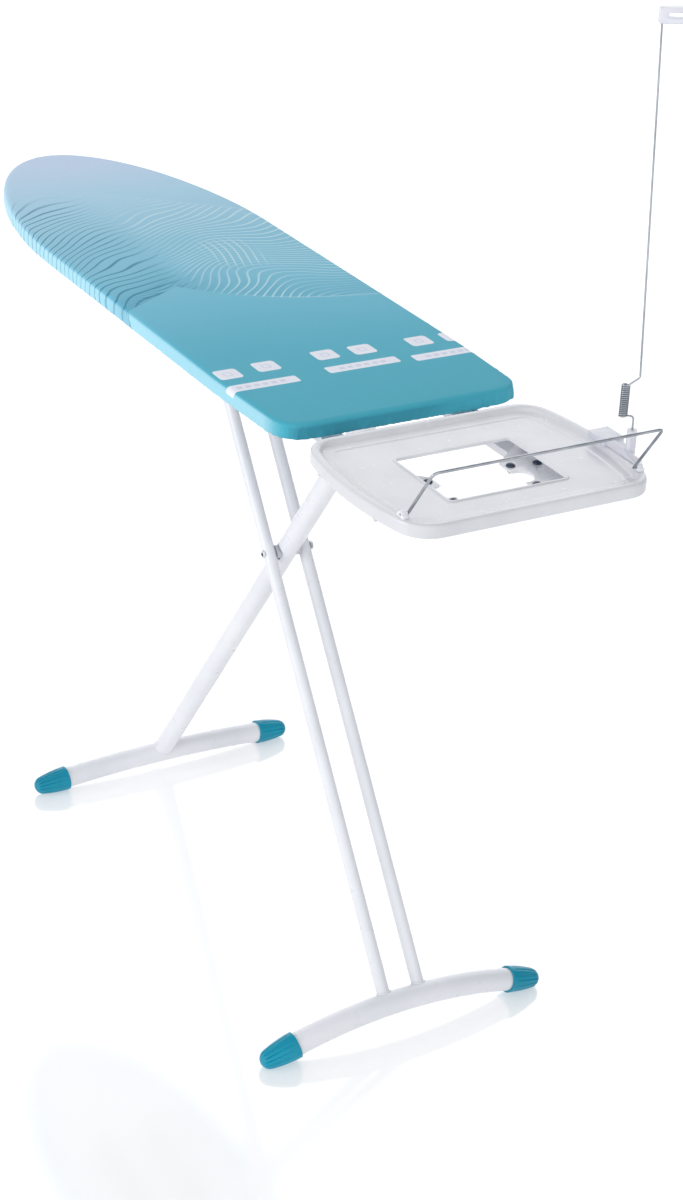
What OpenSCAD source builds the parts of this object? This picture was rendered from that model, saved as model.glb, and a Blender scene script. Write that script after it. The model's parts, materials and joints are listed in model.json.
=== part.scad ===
/* [Board] */
// Length of the ironing surface
board_l = 1200; // [1180:5:1220]
// Width of the ironing surface
board_w = 380; // [370:2:390]
// Height of the ironing surface above the floor
board_h = 944; // [934:1:954]
// Length of the rounded nose
nose_l = 440; // [400:10:480]
// Width across the tail, just before its corners
tail_w = 368; // [360:1:372]
// Radius of the tail's corners
corner_r = 40; // [36:1:48]

/* [Legs] */
// Diameter of the single rear leg tube
main_tube_d = 32; // [30:1:33]
// Diameter of the two slim front leg tubes
twin_tube_d = 19; // [18:1:20]
// Distance between the centres of the slim tubes
twin_spacing = 58; // [57:1:59]
// Distance from the tail's end to the pivot where the legs cross
cross_back = 311; // [306:1:316]
// Height of that pivot
cross_z = 595; // [590:1:600]
// Distance along the floor from the crossing to where each leg comes down
half_span = 407; // [400:1:412]

/* [Feet] */
// Diameter of the foot tubes
foot_tube_d = 34; // [32:1:35]
// Length of the front foot over its caps
front_foot_l = 468; // [460:2:474]
// Rise of the front foot's arch
front_arch = 22; // [16:1:26]
// Length of the rear foot over its caps
rear_foot_l = 474; // [474:2:480]
// Rise of the rear foot's arch
rear_arch = 7; // [5:1:12]
// Length of a foot cap
cap_l = 58; // [54:1:60]
// Diameter of a foot cap where it meets its tube
cap_d = 40; // [39:1:42]

/* [Tray] */
// Gap between the tail's end and the tray
tray_gap = 32; // [28:1:36]
// Length of the tray
tray_l = 286; // [282:1:290]
// Width of the tray at the middle of its curved sides
tray_w = 382; // [378:1:386]
// Drop from the ironing surface to the tray's floor
tray_drop = 15; // [14:1:17]

/* [Bail] */
// Thickness of the bail's wire
bail_d = 4; // [3.5:0.5:4]
// How far the bail reaches beyond the tail's end
bail_reach = 332; // [330:1:334]

/* [Cable holder] */
// Thickness of the holder's wire
wire_d = 2.6; // [2.4:0.1:3]
// Length of the upright wire above the coil
wire_l = 445; // [420:5:460]
// Outer diameter of the coil
coil_d = 12; // [11:0.5:13]

/* [Hidden] */
$fn = 48;

// Colours
white = [0.93, 0.93, 0.94];
tray_white = [0.95, 0.95, 0.97];
teal = [0.02, 0.52, 0.6];
cloth = [0.3, 0.65, 0.74];
steel = [0.6, 0.63, 0.67];
dark = [0.12, 0.13, 0.15];
felt = [0.85, 0.84, 0.8];

// The origin is on the floor, midway between the nose and the bail's furthest point
tail_x = (board_l - bail_reach) / 2;
nose_x = tail_x - board_l;

// Layers of the board, from the top down
cover_t = 1;
pad_t = 5;
core_t = 15.5;
deck_t = 2;
hem_t = 1.3;
hem_w = 32;
skin_gap = 0.3;
pad_top = board_h - cover_t;
core_top = pad_top - pad_t;
core_bottom = core_top - core_t;
cover_z = core_bottom - hem_t;
under_z = core_top - deck_t;

// Outline of the board: a long rounded nose, straight sides, a slight taper and round tail corners
nose_power = 1.82;
nose_root = 1.99;
taper_l = 204;
taper_power = 1.6;
NOSE_STEPS = 24;
TAPER_STEPS = 6;
CORNER_STEPS = 6;

function nose_side(inset) = [for (i = [0:NOSE_STEPS])
    let (u = cos(90 * i / NOSE_STEPS))
    [nose_x + inset + (nose_l - inset) * (1 - u),
     (board_w / 2 - inset) * pow(max(0, 1 - pow(u, nose_power)), 1 / nose_root)]];

function taper_side(inset) = [for (i = [1:TAPER_STEPS])
    let (t = i / TAPER_STEPS)
    [tail_x - taper_l + (taper_l - corner_r) * t,
     board_w / 2 - inset - (board_w - tail_w) / 2 * pow(t, taper_power)]];

function corner_side(inset) = [for (i = [1:CORNER_STEPS])
    let (a = 90 * i / CORNER_STEPS, r = corner_r - inset)
    [tail_x - corner_r + r * sin(a), tail_w / 2 - corner_r + r * cos(a)]];

function half_board(inset) = concat(nose_side(inset), taper_side(inset), corner_side(inset));

function flip_y(points) = [for (i = [len(points) - 1:-1:0]) [points[i][0], -points[i][1]]];

// The first point of the half outline is the nose's tip, on the centre line
function drop_first(points) = [for (i = [1:len(points) - 1]) points[i]];

module board_slab(inset, low, high) {
    translate([0, 0, low])
        linear_extrude(high - low)
            polygon(concat(half_board(inset), flip_y(drop_first(half_board(inset)))));
}

// Leg geometry: both upper legs are equally long, so the board stays level at every height
pivot_z = board_h - 45;
foot_line_z = 36;
leg_angle = atan2(cross_z - foot_line_z, half_span);
cross_x = tail_x - cross_back;
upper_l = (pivot_z - cross_z) / sin(leg_angle);
top_reach = upper_l * cos(leg_angle);
clevis_x = cross_x + top_reach;
axle_x = cross_x - top_reach;

// Travel of the slide along the rails, from the raised board to the folded one
raised_angle = leg_angle + 4;
folded_angle = 5;
slide_raised_x = clevis_x - 2 * upper_l * cos(raised_angle);
slide_folded_x = clevis_x - 2 * upper_l * cos(folded_angle);

// Feet: a circular arch between two caps whose lowest points rest on the floor
cap_r = cap_d / 2;
cap_tip_r = 15;
cap_side_r = (pow(cap_r, 2) + pow(cap_l - cap_tip_r, 2) - pow(cap_tip_r, 2)) / (2 * (cap_r - cap_tip_r));
cap_socket = 22;
tube_end_gap = 0.5;
foot_wall = 1.5;
ARCH_STEPS = 480;
CAP_SIDE_STEPS = 10;
CAP_TIP_STEPS = 8;
function end_angle(l, arch) = 2 * atan(arch / (l / 2 - cap_l));
function half_chord(l, arch) = l / 2 - cap_l * cos(end_angle(l, arch));
function arch_r(l, arch) = half_chord(l, arch) / sin(end_angle(l, arch));
function end_z(l, arch) = cap_side_r - (cap_side_r - cap_r) * cos(end_angle(l, arch));
function mid_z(l, arch) = end_z(l, arch) + arch_r(l, arch) * (1 - cos(end_angle(l, arch)));
front_z = mid_z(front_foot_l, front_arch);
rear_z = mid_z(rear_foot_l, rear_arch);
foot_shift = 4;
front_x = cross_x + (cross_z - front_z) / tan(leg_angle) + foot_shift;
rear_x = cross_x - (cross_z - rear_z) / tan(leg_angle) + foot_shift;

// Pins, bushes and the gaps they run with
pin_d = 8;
run_gap = 0.05;
bush_d = 14;
bush_half = 18;
ear_gap = 0.5;
ear_t = 3;
tube_wall = 1.5;
axle_d = 10;
twin_y = twin_spacing / 2;
spacer_in = 12;
rail_y = 50;
rail_t = 2;
rail_low = pivot_z - 13;
shoe_l = 30;
shoe_h = 14;
shoe_gap = 0.15;
flange_t = 2;
flange_z = under_z - flange_t;
rail_x0 = slide_folded_x - 40;
rail_x1 = slide_raised_x + 36;

// Brake and height lever, on the right-hand side under the board
brake_y = 78;
brake_x = slide_raised_x + 34;
brake_rod_d = 8;
brake_rod_l = 400;
plate_pivot_z = pivot_z + 23;
pull_y = 128;
pull_z = pivot_z - 14;
pull_d = 4;
lever_x = tail_x - 140;
lever_pin_d = 6;
lever_ear_in = 120;
lever_ear_out = 148;

// Tray: floor, raised rim and window
floor_z = board_h - tray_drop;
floor_t = 3;
tray_x0 = tail_x + tray_gap;
tray_x1 = tray_x0 + tray_l;
tray_mid = (tray_x0 + tray_x1) / 2;
tray_bulge = 20;
tray_corner_r = 44;
rim_w = 14;
rim_h = 8;
window_x0 = tail_x + 115;
window_x1 = tail_x + 250;
window_half = 86;
SIDE_STEPS = 12;
TRAY_CORNER_STEPS = 8;

// Arms and brackets under the tray
arm_z = floor_z - 19;
arm_t = 2;
bracket_t = 1.5;
arm_in = 84;
arm_out = 116;
arm_x0 = tail_x - 160;
bite_x = tail_x + 191;
bite_y = 56;
bite_r = 18;
SCREWS = [[tail_x + 158, 62], [tail_x + 220, 62], [tail_x + 164, 99]];
TRAY_FIXINGS = [[tail_x + 124, 109], [tail_x + 216, 109]];
ARM_FIXINGS = [[tail_x - 150, 100], [tail_x - 62, 100]];

// Bail: pivots just above the rim and leans out over the tray's front edge
bail_x = tail_x + 279.5;
bail_z = floor_z + rim_h + 4;
bail_half = 165;
bail_top_x = tail_x + bail_reach - bail_d / 2;
bail_lean = 35;
bail_l = (bail_top_x - bail_x) / sin(bail_lean);
bail_bend = 8;
clip_in = 167.5;
clip_w = 9;

// Cable holder: a socket on the tray's rim, a coil that flexes, a long wire and a clip
socket_x = tail_x + 236;
socket_y = 190;
socket_top = floor_z + 42;
jog_angle = 65;
coil_x = socket_x - 14 * cos(jog_angle);
coil_y = socket_y - 14 * sin(jog_angle);
coil_z0 = socket_top + 17;
coil_l = 46;
coil_turns = 17;
wire_x = coil_x + 17 * cos(jog_angle);
wire_y = coil_y + 17 * sin(jog_angle);
wire_z0 = coil_z0 + coil_l + 8;
wire_z1 = wire_z0 + wire_l;
// The long wire leans back over the coil
wire_lean = 20;
wire_top_x = wire_x - wire_lean * cos(jog_angle);
wire_top_y = wire_y - wire_lean * sin(jog_angle);
wire_r = wire_d / 2;
// Beads at the wires' bends are a touch thicker than the wire
bend_d = wire_d + 0.1;

// Rivets that hold the flanges to the deck
RIVETS = concat(
    [for (x = [rail_x0 + 16, (rail_x0 + rail_x1) / 2, rail_x1 - 16], s = [-1, 1]) [x, s * 57.5]],
    [for (x = [-28, 28], s = [-1, 1]) [clevis_x + x, s * 12]],
    [for (y = [129, 142]) [lever_x, y]],
    [for (x = [-24, 24]) [brake_x + x, brake_y]]);
rivet_d = 4;
rivet_head_d = 9;
rivet_head_h = 3;
hole_gap = 0.1;

// Cylinder along Y, centred on y
module y_pin(d, y0, y1) {
    translate([0, y0, 0])
        rotate([-90, 0, 0])
            cylinder(d = d, h = y1 - y0);
}

// Rod between two points
module rod(from, to, d) {
    v = to - from;
    translate(from)
        rotate([0, atan2(norm([v[0], v[1]]), v[2]), atan2(v[1], v[0])])
            cylinder(d = d, h = norm(v));
}

module at_rivets() {
    for (p = RIVETS)
        translate([p[0], p[1], 0])
            children();
}

// ---- Board ----
module board_core() {
    rim_inset = cover_t + skin_gap;
    hole_d = 7;
    pitch = 52;
    color(white) difference() {
        union() {
            difference() {
                board_slab(rim_inset, core_bottom, core_top);
                board_slab(rim_inset + deck_t, core_bottom - 1, under_z);
            }
            for (s = [-1, 1])
                translate([nose_x + 180, s * 125 - 5, core_bottom + 2])
                    cube([board_l - 420, 10, under_z - core_bottom - 1]);
        }
        for (i = [0:19], j = [-3:3])
            if (abs(j) < 3 || (i > 2 && i < 18))
                translate([nose_x + 120 + i * pitch + (abs(j) % 2) * pitch / 2, j * 46, under_z - 1])
                    cylinder(d = hole_d, h = deck_t + 2);
        at_rivets()
            translate([0, 0, under_z - 1])
                cylinder(d = rivet_d + hole_gap, h = deck_t + 2);
        for (p = ARM_FIXINGS, s = [-1, 1])
            translate([p[0], s * p[1], under_z - 1])
                cylinder(d = 5 + hole_gap, h = deck_t + 2);
    }
}

module board_pad() {
    color(felt) board_slab(cover_t + skin_gap, core_top, pad_top);
}

module cover() {
    color(cloth) difference() {
        board_slab(0, cover_z, board_h);
        board_slab(cover_t, cover_z + hem_t, pad_top);
        board_slab(hem_w, cover_z - 1, cover_z + hem_t + 1);
    }
}

module guide_rail(side) {
    flange_w = 15;
    web_y = side * rail_y - rail_t / 2;
    slot_x0 = slide_folded_x - shoe_l / 2 - 1;
    slot_x1 = slide_raised_x + shoe_l / 2 + 1;
    slot_h = shoe_h + 2 * shoe_gap;
    color(steel) difference() {
        union() {
            translate([rail_x0, web_y, rail_low])
                cube([rail_x1 - rail_x0, rail_t, under_z - rail_low]);
            translate([rail_x0, side > 0 ? web_y : web_y + rail_t - flange_w, flange_z])
                cube([rail_x1 - rail_x0, flange_w, flange_t]);
        }
        translate([slot_x0, web_y - 1, pivot_z - slot_h / 2])
            cube([slot_x1 - slot_x0, rail_t + 2, slot_h]);
        at_rivets()
            translate([0, 0, flange_z - 1])
                cylinder(d = rivet_d + hole_gap, h = flange_t + 2);
    }
}

module guide_rail_left() {
    guide_rail(-1);
}

module guide_rail_right() {
    guide_rail(1);
}

module deck_rivets() {
    color(steel) at_rivets() {
        translate([0, 0, flange_z - rivet_head_h])
            cylinder(d1 = rivet_head_d - 3, d2 = rivet_head_d, h = rivet_head_h);
        translate([0, 0, flange_z - 1])
            cylinder(d = rivet_d, h = core_top - flange_z + 1);
    }
}

module tail_clevis() {
    ear_in = bush_half + ear_gap;
    color(white) difference() {
        union() {
            translate([clevis_x - 36, -30, flange_z])
                cube([72, 60, flange_t]);
            for (s = [-1, 1])
                translate([clevis_x, s * (ear_in + ear_t / 2), 0]) {
                    translate([-14, -ear_t / 2, pivot_z])
                        cube([28, ear_t, flange_z - pivot_z + 1]);
                    translate([0, 0, pivot_z])
                        y_pin(28, -ear_t / 2, ear_t / 2);
                }
        }
        translate([clevis_x, 0, pivot_z])
            y_pin(pin_d + hole_gap, -40, 40);
        at_rivets()
            translate([0, 0, flange_z - 1])
                cylinder(d = rivet_d + hole_gap, h = flange_t + 2);
    }
}

module clevis_pin() {
    ear_out = bush_half + ear_gap + ear_t;
    color(steel) translate([clevis_x, 0, pivot_z]) {
        y_pin(pin_d, -ear_out - 1, ear_out + 1);
        y_pin(pin_d + 5, -ear_out - 3, -ear_out - 0.1);
        y_pin(pin_d + 3, ear_out + 0.1, ear_out + 2);
    }
}

// ---- Height lever and brake ----
module lever_bracket() {
    color(steel) difference() {
        union() {
            translate([lever_x - 12, lever_ear_in, flange_z])
                cube([24, lever_ear_out + 2.5 - lever_ear_in, flange_t]);
            for (y = [lever_ear_in, lever_ear_out])
                translate([lever_x, y, 0]) {
                    translate([-8, 0, pivot_z])
                        cube([16, 2.5, flange_z - pivot_z + 1]);
                    translate([0, 0, pivot_z])
                        y_pin(16, 0, 2.5);
                }
        }
        translate([lever_x, 0, pivot_z])
            y_pin(lever_pin_d + hole_gap, lever_ear_in - 1, lever_ear_out + 4);
        at_rivets()
            translate([0, 0, flange_z - 1])
                cylinder(d = rivet_d + hole_gap, h = flange_t + 2);
    }
}

module lever_pin() {
    color(steel) translate([lever_x, 0, pivot_z]) {
        y_pin(lever_pin_d, lever_ear_in - 2, lever_ear_out + 4);
        y_pin(lever_pin_d + 4, lever_ear_out + 2.6, lever_ear_out + 5);
    }
}

module height_lever() {
    hub_y0 = lever_ear_in + 3;
    hub_y1 = lever_ear_out - 0.5;
    hub_d = 12;
    grip_y = 127;
    grip_w = 19;
    color(teal) translate([lever_x, 0, pivot_z]) difference() {
        union() {
            y_pin(hub_d, hub_y0, hub_y1);
            translate([-4, pull_y - 3, pull_z - pivot_z])
                cube([8, 6, pivot_z - pull_z]);
            translate([0, 0, pull_z - pivot_z])
                y_pin(8, pull_y - 3, pull_y + 3);
            rotate([0, 4, 0])
                hull() {
                    translate([2, grip_y, -4])
                        cube([4, grip_w, 7]);
                    translate([100, grip_y + 5, -5])
                        cylinder(d = 12, h = 6, $fn = 32);
                    translate([100, grip_y + grip_w - 5, -5])
                        cylinder(d = 12, h = 6, $fn = 32);
                }
        }
        y_pin(lever_pin_d + 2 * run_gap, hub_y0 - 1, hub_y1 + 1);
        translate([0, 0, pull_z - pivot_z])
            y_pin(pull_d + 0.9, pull_y - 4, pull_y + 4);
    }
}

// The rod hooks into the lever's crank and ends in a button behind the brake plate
module release_rod() {
    color(steel) {
        translate([lever_x, 0, pull_z])
            y_pin(pull_d, pull_y - 6, pull_y + 5);
        rod([brake_x - 8, pull_y - 6, pull_z], [lever_x, pull_y - 6, pull_z], pull_d);
        translate([lever_x, pull_y - 6, pull_z])
            sphere(d = pull_d + 0.1);
        rod([brake_x - 11, pull_y - 6, pull_z], [brake_x - 4, pull_y - 6, pull_z], 9);
    }
}

module brake_housing() {
    color(dark) difference() {
        union() {
            translate([brake_x - 31, brake_y - 12, flange_z])
                cube([62, 24, flange_t]);
            translate([brake_x - 16, brake_y - 12, pivot_z - 8])
                cube([32, 24, flange_z - pivot_z + 9]);
        }
        translate([brake_x - 6, brake_y - 14, pivot_z - 10])
            cube([12, 28, plate_pivot_z - pivot_z + 15]);
        translate([brake_x - 40, brake_y, pivot_z])
            rotate([0, 90, 0])
                cylinder(d = brake_rod_d + 1, h = 80);
        translate([brake_x + 5, brake_y, pivot_z])
            rotate([0, 90, 0])
                cylinder(d = 13, h = 7);
        at_rivets()
            translate([0, 0, flange_z - 1])
                cylinder(d = rivet_d + hole_gap, h = flange_t + 2);
    }
}

module brake_spring() {
    color(steel) translate([brake_x + 3.2, brake_y, pivot_z])
        rotate([0, 90, 0])
            difference() {
                cylinder(d = 12.4, h = 8);
                translate([0, 0, -1])
                    cylinder(d = 9.6, h = 10);
            }
}

module brake_plate() {
    plate_t = 3;
    color(steel) difference() {
        union() {
            translate([brake_x - plate_t / 2, brake_y - 8, pull_z - 6])
                cube([plate_t, 16, plate_pivot_z - pull_z + 8]);
            translate([brake_x - plate_t / 2, brake_y - 8, pull_z - 6])
                cube([plate_t, pull_y - brake_y + 8, 12]);
        }
        translate([brake_x - 5, brake_y, pivot_z])
            rotate([0, 90, 0])
                cylinder(d = brake_rod_d + 1.4, h = 10);
        translate([brake_x - 5, pull_y - 6, pull_z])
            rotate([0, 90, 0])
                cylinder(d = pull_d + 1.6, h = 10);
    }
}

// ---- Slide: two shoes and the brake rod, carried by the top axle ----
module slide_shoe(side) {
    lip = 3;
    web = rail_t / 2 + shoe_gap;
    color(dark) translate([axle_x, side * rail_y, pivot_z]) difference() {
        union() {
            translate([-shoe_l / 2, -web, -shoe_h / 2])
                cube([shoe_l, 2 * web, shoe_h]);
            for (s = [-1, 1])
                translate([-shoe_l / 2, s > 0 ? web : -web - lip, -shoe_h / 2 - 3])
                    cube([shoe_l, lip, shoe_h + 6]);
        }
        y_pin(axle_d + 2 * run_gap, -10, 10);
    }
}

module slide_shoe_left() {
    slide_shoe(-1);
}

module slide_shoe_right() {
    slide_shoe(1);
}

module brake_rod() {
    eye_d = 20;
    color(steel) difference() {
        union() {
            translate([axle_x, 0, pivot_z])
                y_pin(eye_d, brake_y - 6, brake_y + 6);
            rod([axle_x, brake_y, pivot_z], [axle_x + brake_rod_l, brake_y, pivot_z], brake_rod_d);
        }
        translate([axle_x, 0, pivot_z])
            y_pin(axle_d + 2 * run_gap, brake_y - 10, brake_y + 10);
    }
}

// ---- Tray ----
// Half outline from the middle of the board-side edge round to the middle of the front edge
function side_y(x, inset) = tray_w / 2 - inset - tray_bulge * pow((x - tray_mid) / (tray_l / 2), 2);
function side_slope(x) = atan(2 * tray_bulge * (x - tray_mid) / pow(tray_l / 2, 2));
corner_slope = side_slope(tray_x1 - tray_corner_r * 0.7);
side_x1 = tray_x1 - tray_corner_r * (1 - sin(corner_slope));
side_x0 = 2 * tray_mid - side_x1;

function half_tray(inset) =
    let (r = tray_corner_r - inset,
         cx = side_x1 - tray_corner_r * sin(corner_slope),
         cy = side_y(side_x1, 0) - tray_corner_r * cos(corner_slope))
    concat(
        [for (i = [0:TRAY_CORNER_STEPS - 1])
            let (a = 90 - (90 - corner_slope) * i / TRAY_CORNER_STEPS)
            [2 * tray_mid - cx - r * sin(a), cy + r * cos(a)]],
        [for (i = [0:SIDE_STEPS])
            let (x = side_x0 + (side_x1 - side_x0) * i / SIDE_STEPS, b = side_slope(x))
            [x - inset * sin(b), side_y(x, 0) - inset * cos(b)]],
        [for (i = [1:TRAY_CORNER_STEPS])
            let (a = corner_slope + (90 - corner_slope) * i / TRAY_CORNER_STEPS)
            [cx + r * sin(a), cy + r * cos(a)]]);

module tray_slab(inset, low, high) {
    translate([0, 0, low])
        linear_extrude(high - low)
            polygon(concat(half_tray(inset), flip_y(half_tray(inset))));
}

module tray_ring(outer, inner, low, high) {
    difference() {
        tray_slab(outer, low, high);
        tray_slab(inner, low - 1, high + 1);
    }
}

module window_cut(grow, low, high) {
    translate([window_x0 - grow, -window_half - grow, low])
        cube([window_x1 - window_x0 + 2 * grow, 2 * (window_half + grow), high - low]);
}

module tray_shell() {
    under = floor_z - floor_t;
    lip = 4;
    color(tray_white) difference() {
        union() {
            tray_slab(rim_w - 2, under, floor_z);
            tray_ring(0, rim_w, under - 1, floor_z + 3.5);
            tray_ring(1.2, rim_w - 2, floor_z + 3.5, floor_z + 6.5);
            tray_ring(3.6, rim_w - 4.5, floor_z + 6.5, floor_z + rim_h);
            tray_ring(0, 2.5, floor_z - 10, under);
            window_cut(lip, under, floor_z + 1);
            for (p = TRAY_FIXINGS, s = [-1, 1])
                translate([p[0], s * p[1], arm_z + bracket_t])
                    cylinder(d = 11, h = under - arm_z - bracket_t + 1);
            translate([tray_x1 - 24, tray_w / 2 - 38, floor_z - 1])
                cylinder(d = 20, h = 5);
        }
        window_cut(0, under - 2, floor_z + 3);
        translate([tray_x1 - 24, tray_w / 2 - 38, floor_z + 1])
            cylinder(d = 12, h = 5);
        for (p = TRAY_FIXINGS, s = [-1, 1])
            translate([p[0], s * p[1], arm_z])
                cylinder(d = 4 + hole_gap, h = 9);
    }
}

module bail_clip(side) {
    clip_z = floor_z + rim_h;
    y0 = side > 0 ? clip_in : -clip_in - clip_w;
    color(tray_white) difference() {
        union() {
            translate([bail_x - 8, y0, clip_z])
                cube([16, clip_w, bail_z - clip_z]);
            translate([bail_x, 0, bail_z])
                y_pin(9, y0, y0 + clip_w);
        }
        translate([bail_x - 10, y0 - 1, clip_z - 2])
            cube([20, clip_w + 2, 2]);
        translate([bail_x, 0, bail_z])
            y_pin(bail_d + 2 * run_gap, y0 - 1, y0 + clip_w + 1);
    }
}

module bail_clip_left() {
    bail_clip(-1);
}

module bail_clip_right() {
    bail_clip(1);
}

// The bail in its own plane: two legs along Z, a bar along Y, stubs turned out at the bottom
module bail() {
    bar_half = bail_half - bail_bend;
    color(steel) translate([bail_x, 0, bail_z]) {
        y_pin(bail_d, -clip_in - clip_w + 1, -bail_half);
        y_pin(bail_d, bail_half, clip_in + clip_w - 1);
        rotate([0, bail_lean, 0]) {
            for (s = [-1, 1]) {
                translate([0, s * bail_half, 0]) {
                    sphere(d = bail_d);
                    cylinder(d = bail_d, h = bail_l - bail_bend);
                }
                translate([0, s * bar_half, bail_l - bail_bend])
                    rotate([90, 0, 90])
                        rotate([0, 0, s > 0 ? 0 : 90])
                            rotate_extrude(angle = 90)
                                translate([bail_bend, 0])
                                    circle(d = bail_d);
            }
            translate([0, 0, bail_l])
                y_pin(bail_d, -bar_half, bar_half);
        }
    }
}

// ---- Tray supports ----
function bracket_outline(s, grow) = [
    [tail_x + 96 - grow, s * arm_out], [tail_x + 96 - grow, s * (110 - grow)],
    [tail_x + 146 - grow, s * (52 - grow)], [tail_x + 230 + grow, s * (52 - grow)],
    [tail_x + 228 + grow, s * arm_out]];

module bracket_holes(s, low, h) {
    translate([bite_x, s * bite_y, low])
        cylinder(r = bite_r, h = h);
    for (p = SCREWS)
        translate([p[0], s * p[1], low])
            cylinder(d = 5 + hole_gap, h = h);
    for (p = TRAY_FIXINGS)
        translate([p[0], s * p[1], low])
            cylinder(d = 4 + hole_gap, h = h);
}

module tray_arm(s) {
    flange_h = 10;
    strip_y = s > 0 ? arm_in : -arm_out;
    color(white) difference() {
        union() {
            translate([arm_x0, strip_y, arm_z - arm_t])
                cube([tail_x + 120 - arm_x0, arm_out - arm_in, arm_t]);
            translate([0, 0, arm_z - arm_t])
                linear_extrude(arm_t)
                    polygon(bracket_outline(s, -2));
            for (y = [arm_in, arm_out - 1.5])
                translate([arm_x0, s > 0 ? y : -y - 1.5, arm_z - flange_h])
                    cube([tail_x + (y > arm_in ? 226 : 112) - arm_x0, 1.5, flange_h]);
        }
        bracket_holes(s, arm_z - arm_t - 1, arm_t + 2);
        for (p = ARM_FIXINGS)
            translate([p[0], s * p[1], arm_z - arm_t - 1])
                cylinder(d = 5 + hole_gap, h = arm_t + 2);
    }
}

module tray_arm_left() {
    tray_arm(-1);
}

module tray_arm_right() {
    tray_arm(1);
}

module arm_spacers() {
    color(steel) for (p = ARM_FIXINGS, s = [-1, 1])
        translate([p[0], s * p[1], arm_z]) difference() {
            cylinder(d = 13, h = under_z - arm_z);
            translate([0, 0, -1])
                cylinder(d = 5.4, h = under_z - arm_z + 2);
        }
}

module arm_screws() {
    color(steel) for (p = ARM_FIXINGS, s = [-1, 1])
        translate([p[0], s * p[1], 0]) {
            translate([0, 0, arm_z - arm_t - 3])
                cylinder(d1 = 7, d2 = 9.5, h = 3);
            translate([0, 0, arm_z - arm_t - 1])
                cylinder(d = 5, h = core_top - arm_z + arm_t + 1);
        }
}

module tray_bracket(s) {
    color(white) difference() {
        translate([0, 0, arm_z])
            linear_extrude(bracket_t)
                polygon(bracket_outline(s, 0));
        bracket_holes(s, arm_z - 1, bracket_t + 2);
    }
}

module tray_bracket_left() {
    tray_bracket(-1);
}

module tray_bracket_right() {
    tray_bracket(1);
}

// Domed heads on top of the brackets, shanks through bracket and arm
module bracket_screws() {
    head_r = 6.2;
    dome_r = 8;
    top = arm_z + bracket_t;
    color(dark) for (p = SCREWS, s = [-1, 1])
        translate([p[0], s * p[1], 0]) {
            intersection() {
                translate([0, 0, top])
                    cylinder(r = head_r, h = 4.2);
                translate([0, 0, top + 4.2 - dome_r])
                    sphere(r = dome_r);
            }
            translate([0, 0, arm_z - arm_t - 6])
                cylinder(d = 5, h = 6 + arm_t + bracket_t + 1);
        }
}

module bracket_nuts() {
    color(steel) for (p = SCREWS, s = [-1, 1])
        translate([p[0], s * p[1], arm_z - arm_t - 4]) difference() {
            cylinder(d = 9, h = 4, $fn = 6);
            translate([0, 0, -1])
                cylinder(d = 5 + hole_gap, h = 6);
        }
}

module tray_screws() {
    color(steel) for (p = TRAY_FIXINGS, s = [-1, 1])
        translate([p[0], s * p[1], 0]) {
            translate([0, 0, arm_z - arm_t - 2.5])
                cylinder(d = 8, h = 2.5);
            translate([0, 0, arm_z - arm_t - 1])
                cylinder(d = 4, h = 10);
        }
}

// ---- Cable holder ----
// Clamp round the tray's rim, with the socket tube and a bar that runs on to the front corner
module cable_socket() {
    block_x0 = tail_x + 166;
    block_x1 = tail_x + 203;
    block_y0 = 173;
    block_y1 = 204;
    block_top = floor_z + 17;
    rim_top = floor_z + rim_h + 1;
    tube_d = 13;
    color(tray_white) difference() {
        union() {
            translate([block_x0, block_y0, floor_z - 14])
                cube([block_x1 - block_x0, block_y1 - block_y0, block_top - floor_z + 14]);
            translate([socket_x, socket_y, rim_top])
                cylinder(d = tube_d, h = socket_top - rim_top);
            translate([block_x1 - 4, socket_y - 8, rim_top])
                cube([socket_x - block_x1 + 6, 15, 5]);
            hull() {
                translate([block_x1 - 6, 178, rim_top])
                    cube([5, 8, 9]);
                translate([tail_x + 268, 180, rim_top])
                    cylinder(d = 9, h = 5, $fn = 32);
            }
        }
        tray_slab(-0.4, floor_z - 10.5, rim_top - 0.5);
        translate([socket_x, socket_y, rim_top + 2])
            cylinder(d = wire_d + 2 * run_gap, h = 60);
        translate([(block_x0 + block_x1) / 2, 199, floor_z - 20])
            cylinder(d = 3 + hole_gap, h = 22);
    }
}

module socket_screw() {
    color(steel) translate([tail_x + 184.5, 199, floor_z - 16.5]) {
        cylinder(d = 7, h = 2.4);
        cylinder(d = 3, h = 18);
    }
}

// Stub in the socket, then a bend across to the foot of the coil
module holder_foot_wire() {
    top = coil_z0 - wire_r - 1;
    color(steel) {
        rod([socket_x, socket_y, floor_z + rim_h + 4], [socket_x, socket_y, top], wire_d);
        translate([socket_x, socket_y, top])
            sphere(d = bend_d);
        rod([socket_x, socket_y, top], [coil_x, coil_y, top], wire_d);
        translate([coil_x, coil_y, top - wire_r])
            cylinder(d = coil_d - 1, h = coil_z0 - top + wire_r);
    }
}

// Close-wound coil, one ring for each turn, on a thin sleeve
module holder_spring() {
    pitch = coil_l / coil_turns;
    color(steel) translate([coil_x, coil_y, coil_z0]) {
        difference() {
            cylinder(d = coil_d - wire_d, h = coil_l);
            translate([0, 0, -1])
                cylinder(d = coil_d - 2 * wire_d, h = coil_l + 2);
        }
        for (i = [0:coil_turns - 1])
            translate([0, 0, pitch * (i + 0.5)])
                rotate_extrude()
                    translate([coil_d / 2 - wire_r, 0])
                        circle(d = pitch);
    }
}

module holder_wire() {
    low = coil_z0 + coil_l;
    color(steel) {
        translate([coil_x, coil_y, low])
            cylinder(d = coil_d - 1, h = 1 + wire_d);
        rod([coil_x, coil_y, low + 1 + wire_r], [wire_x, wire_y, wire_z0], wire_d);
        translate([wire_x, wire_y, wire_z0])
            sphere(d = bend_d);
        rod([wire_x, wire_y, wire_z0], [wire_top_x, wire_top_y, wire_z1], wire_d);
    }
}

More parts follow.
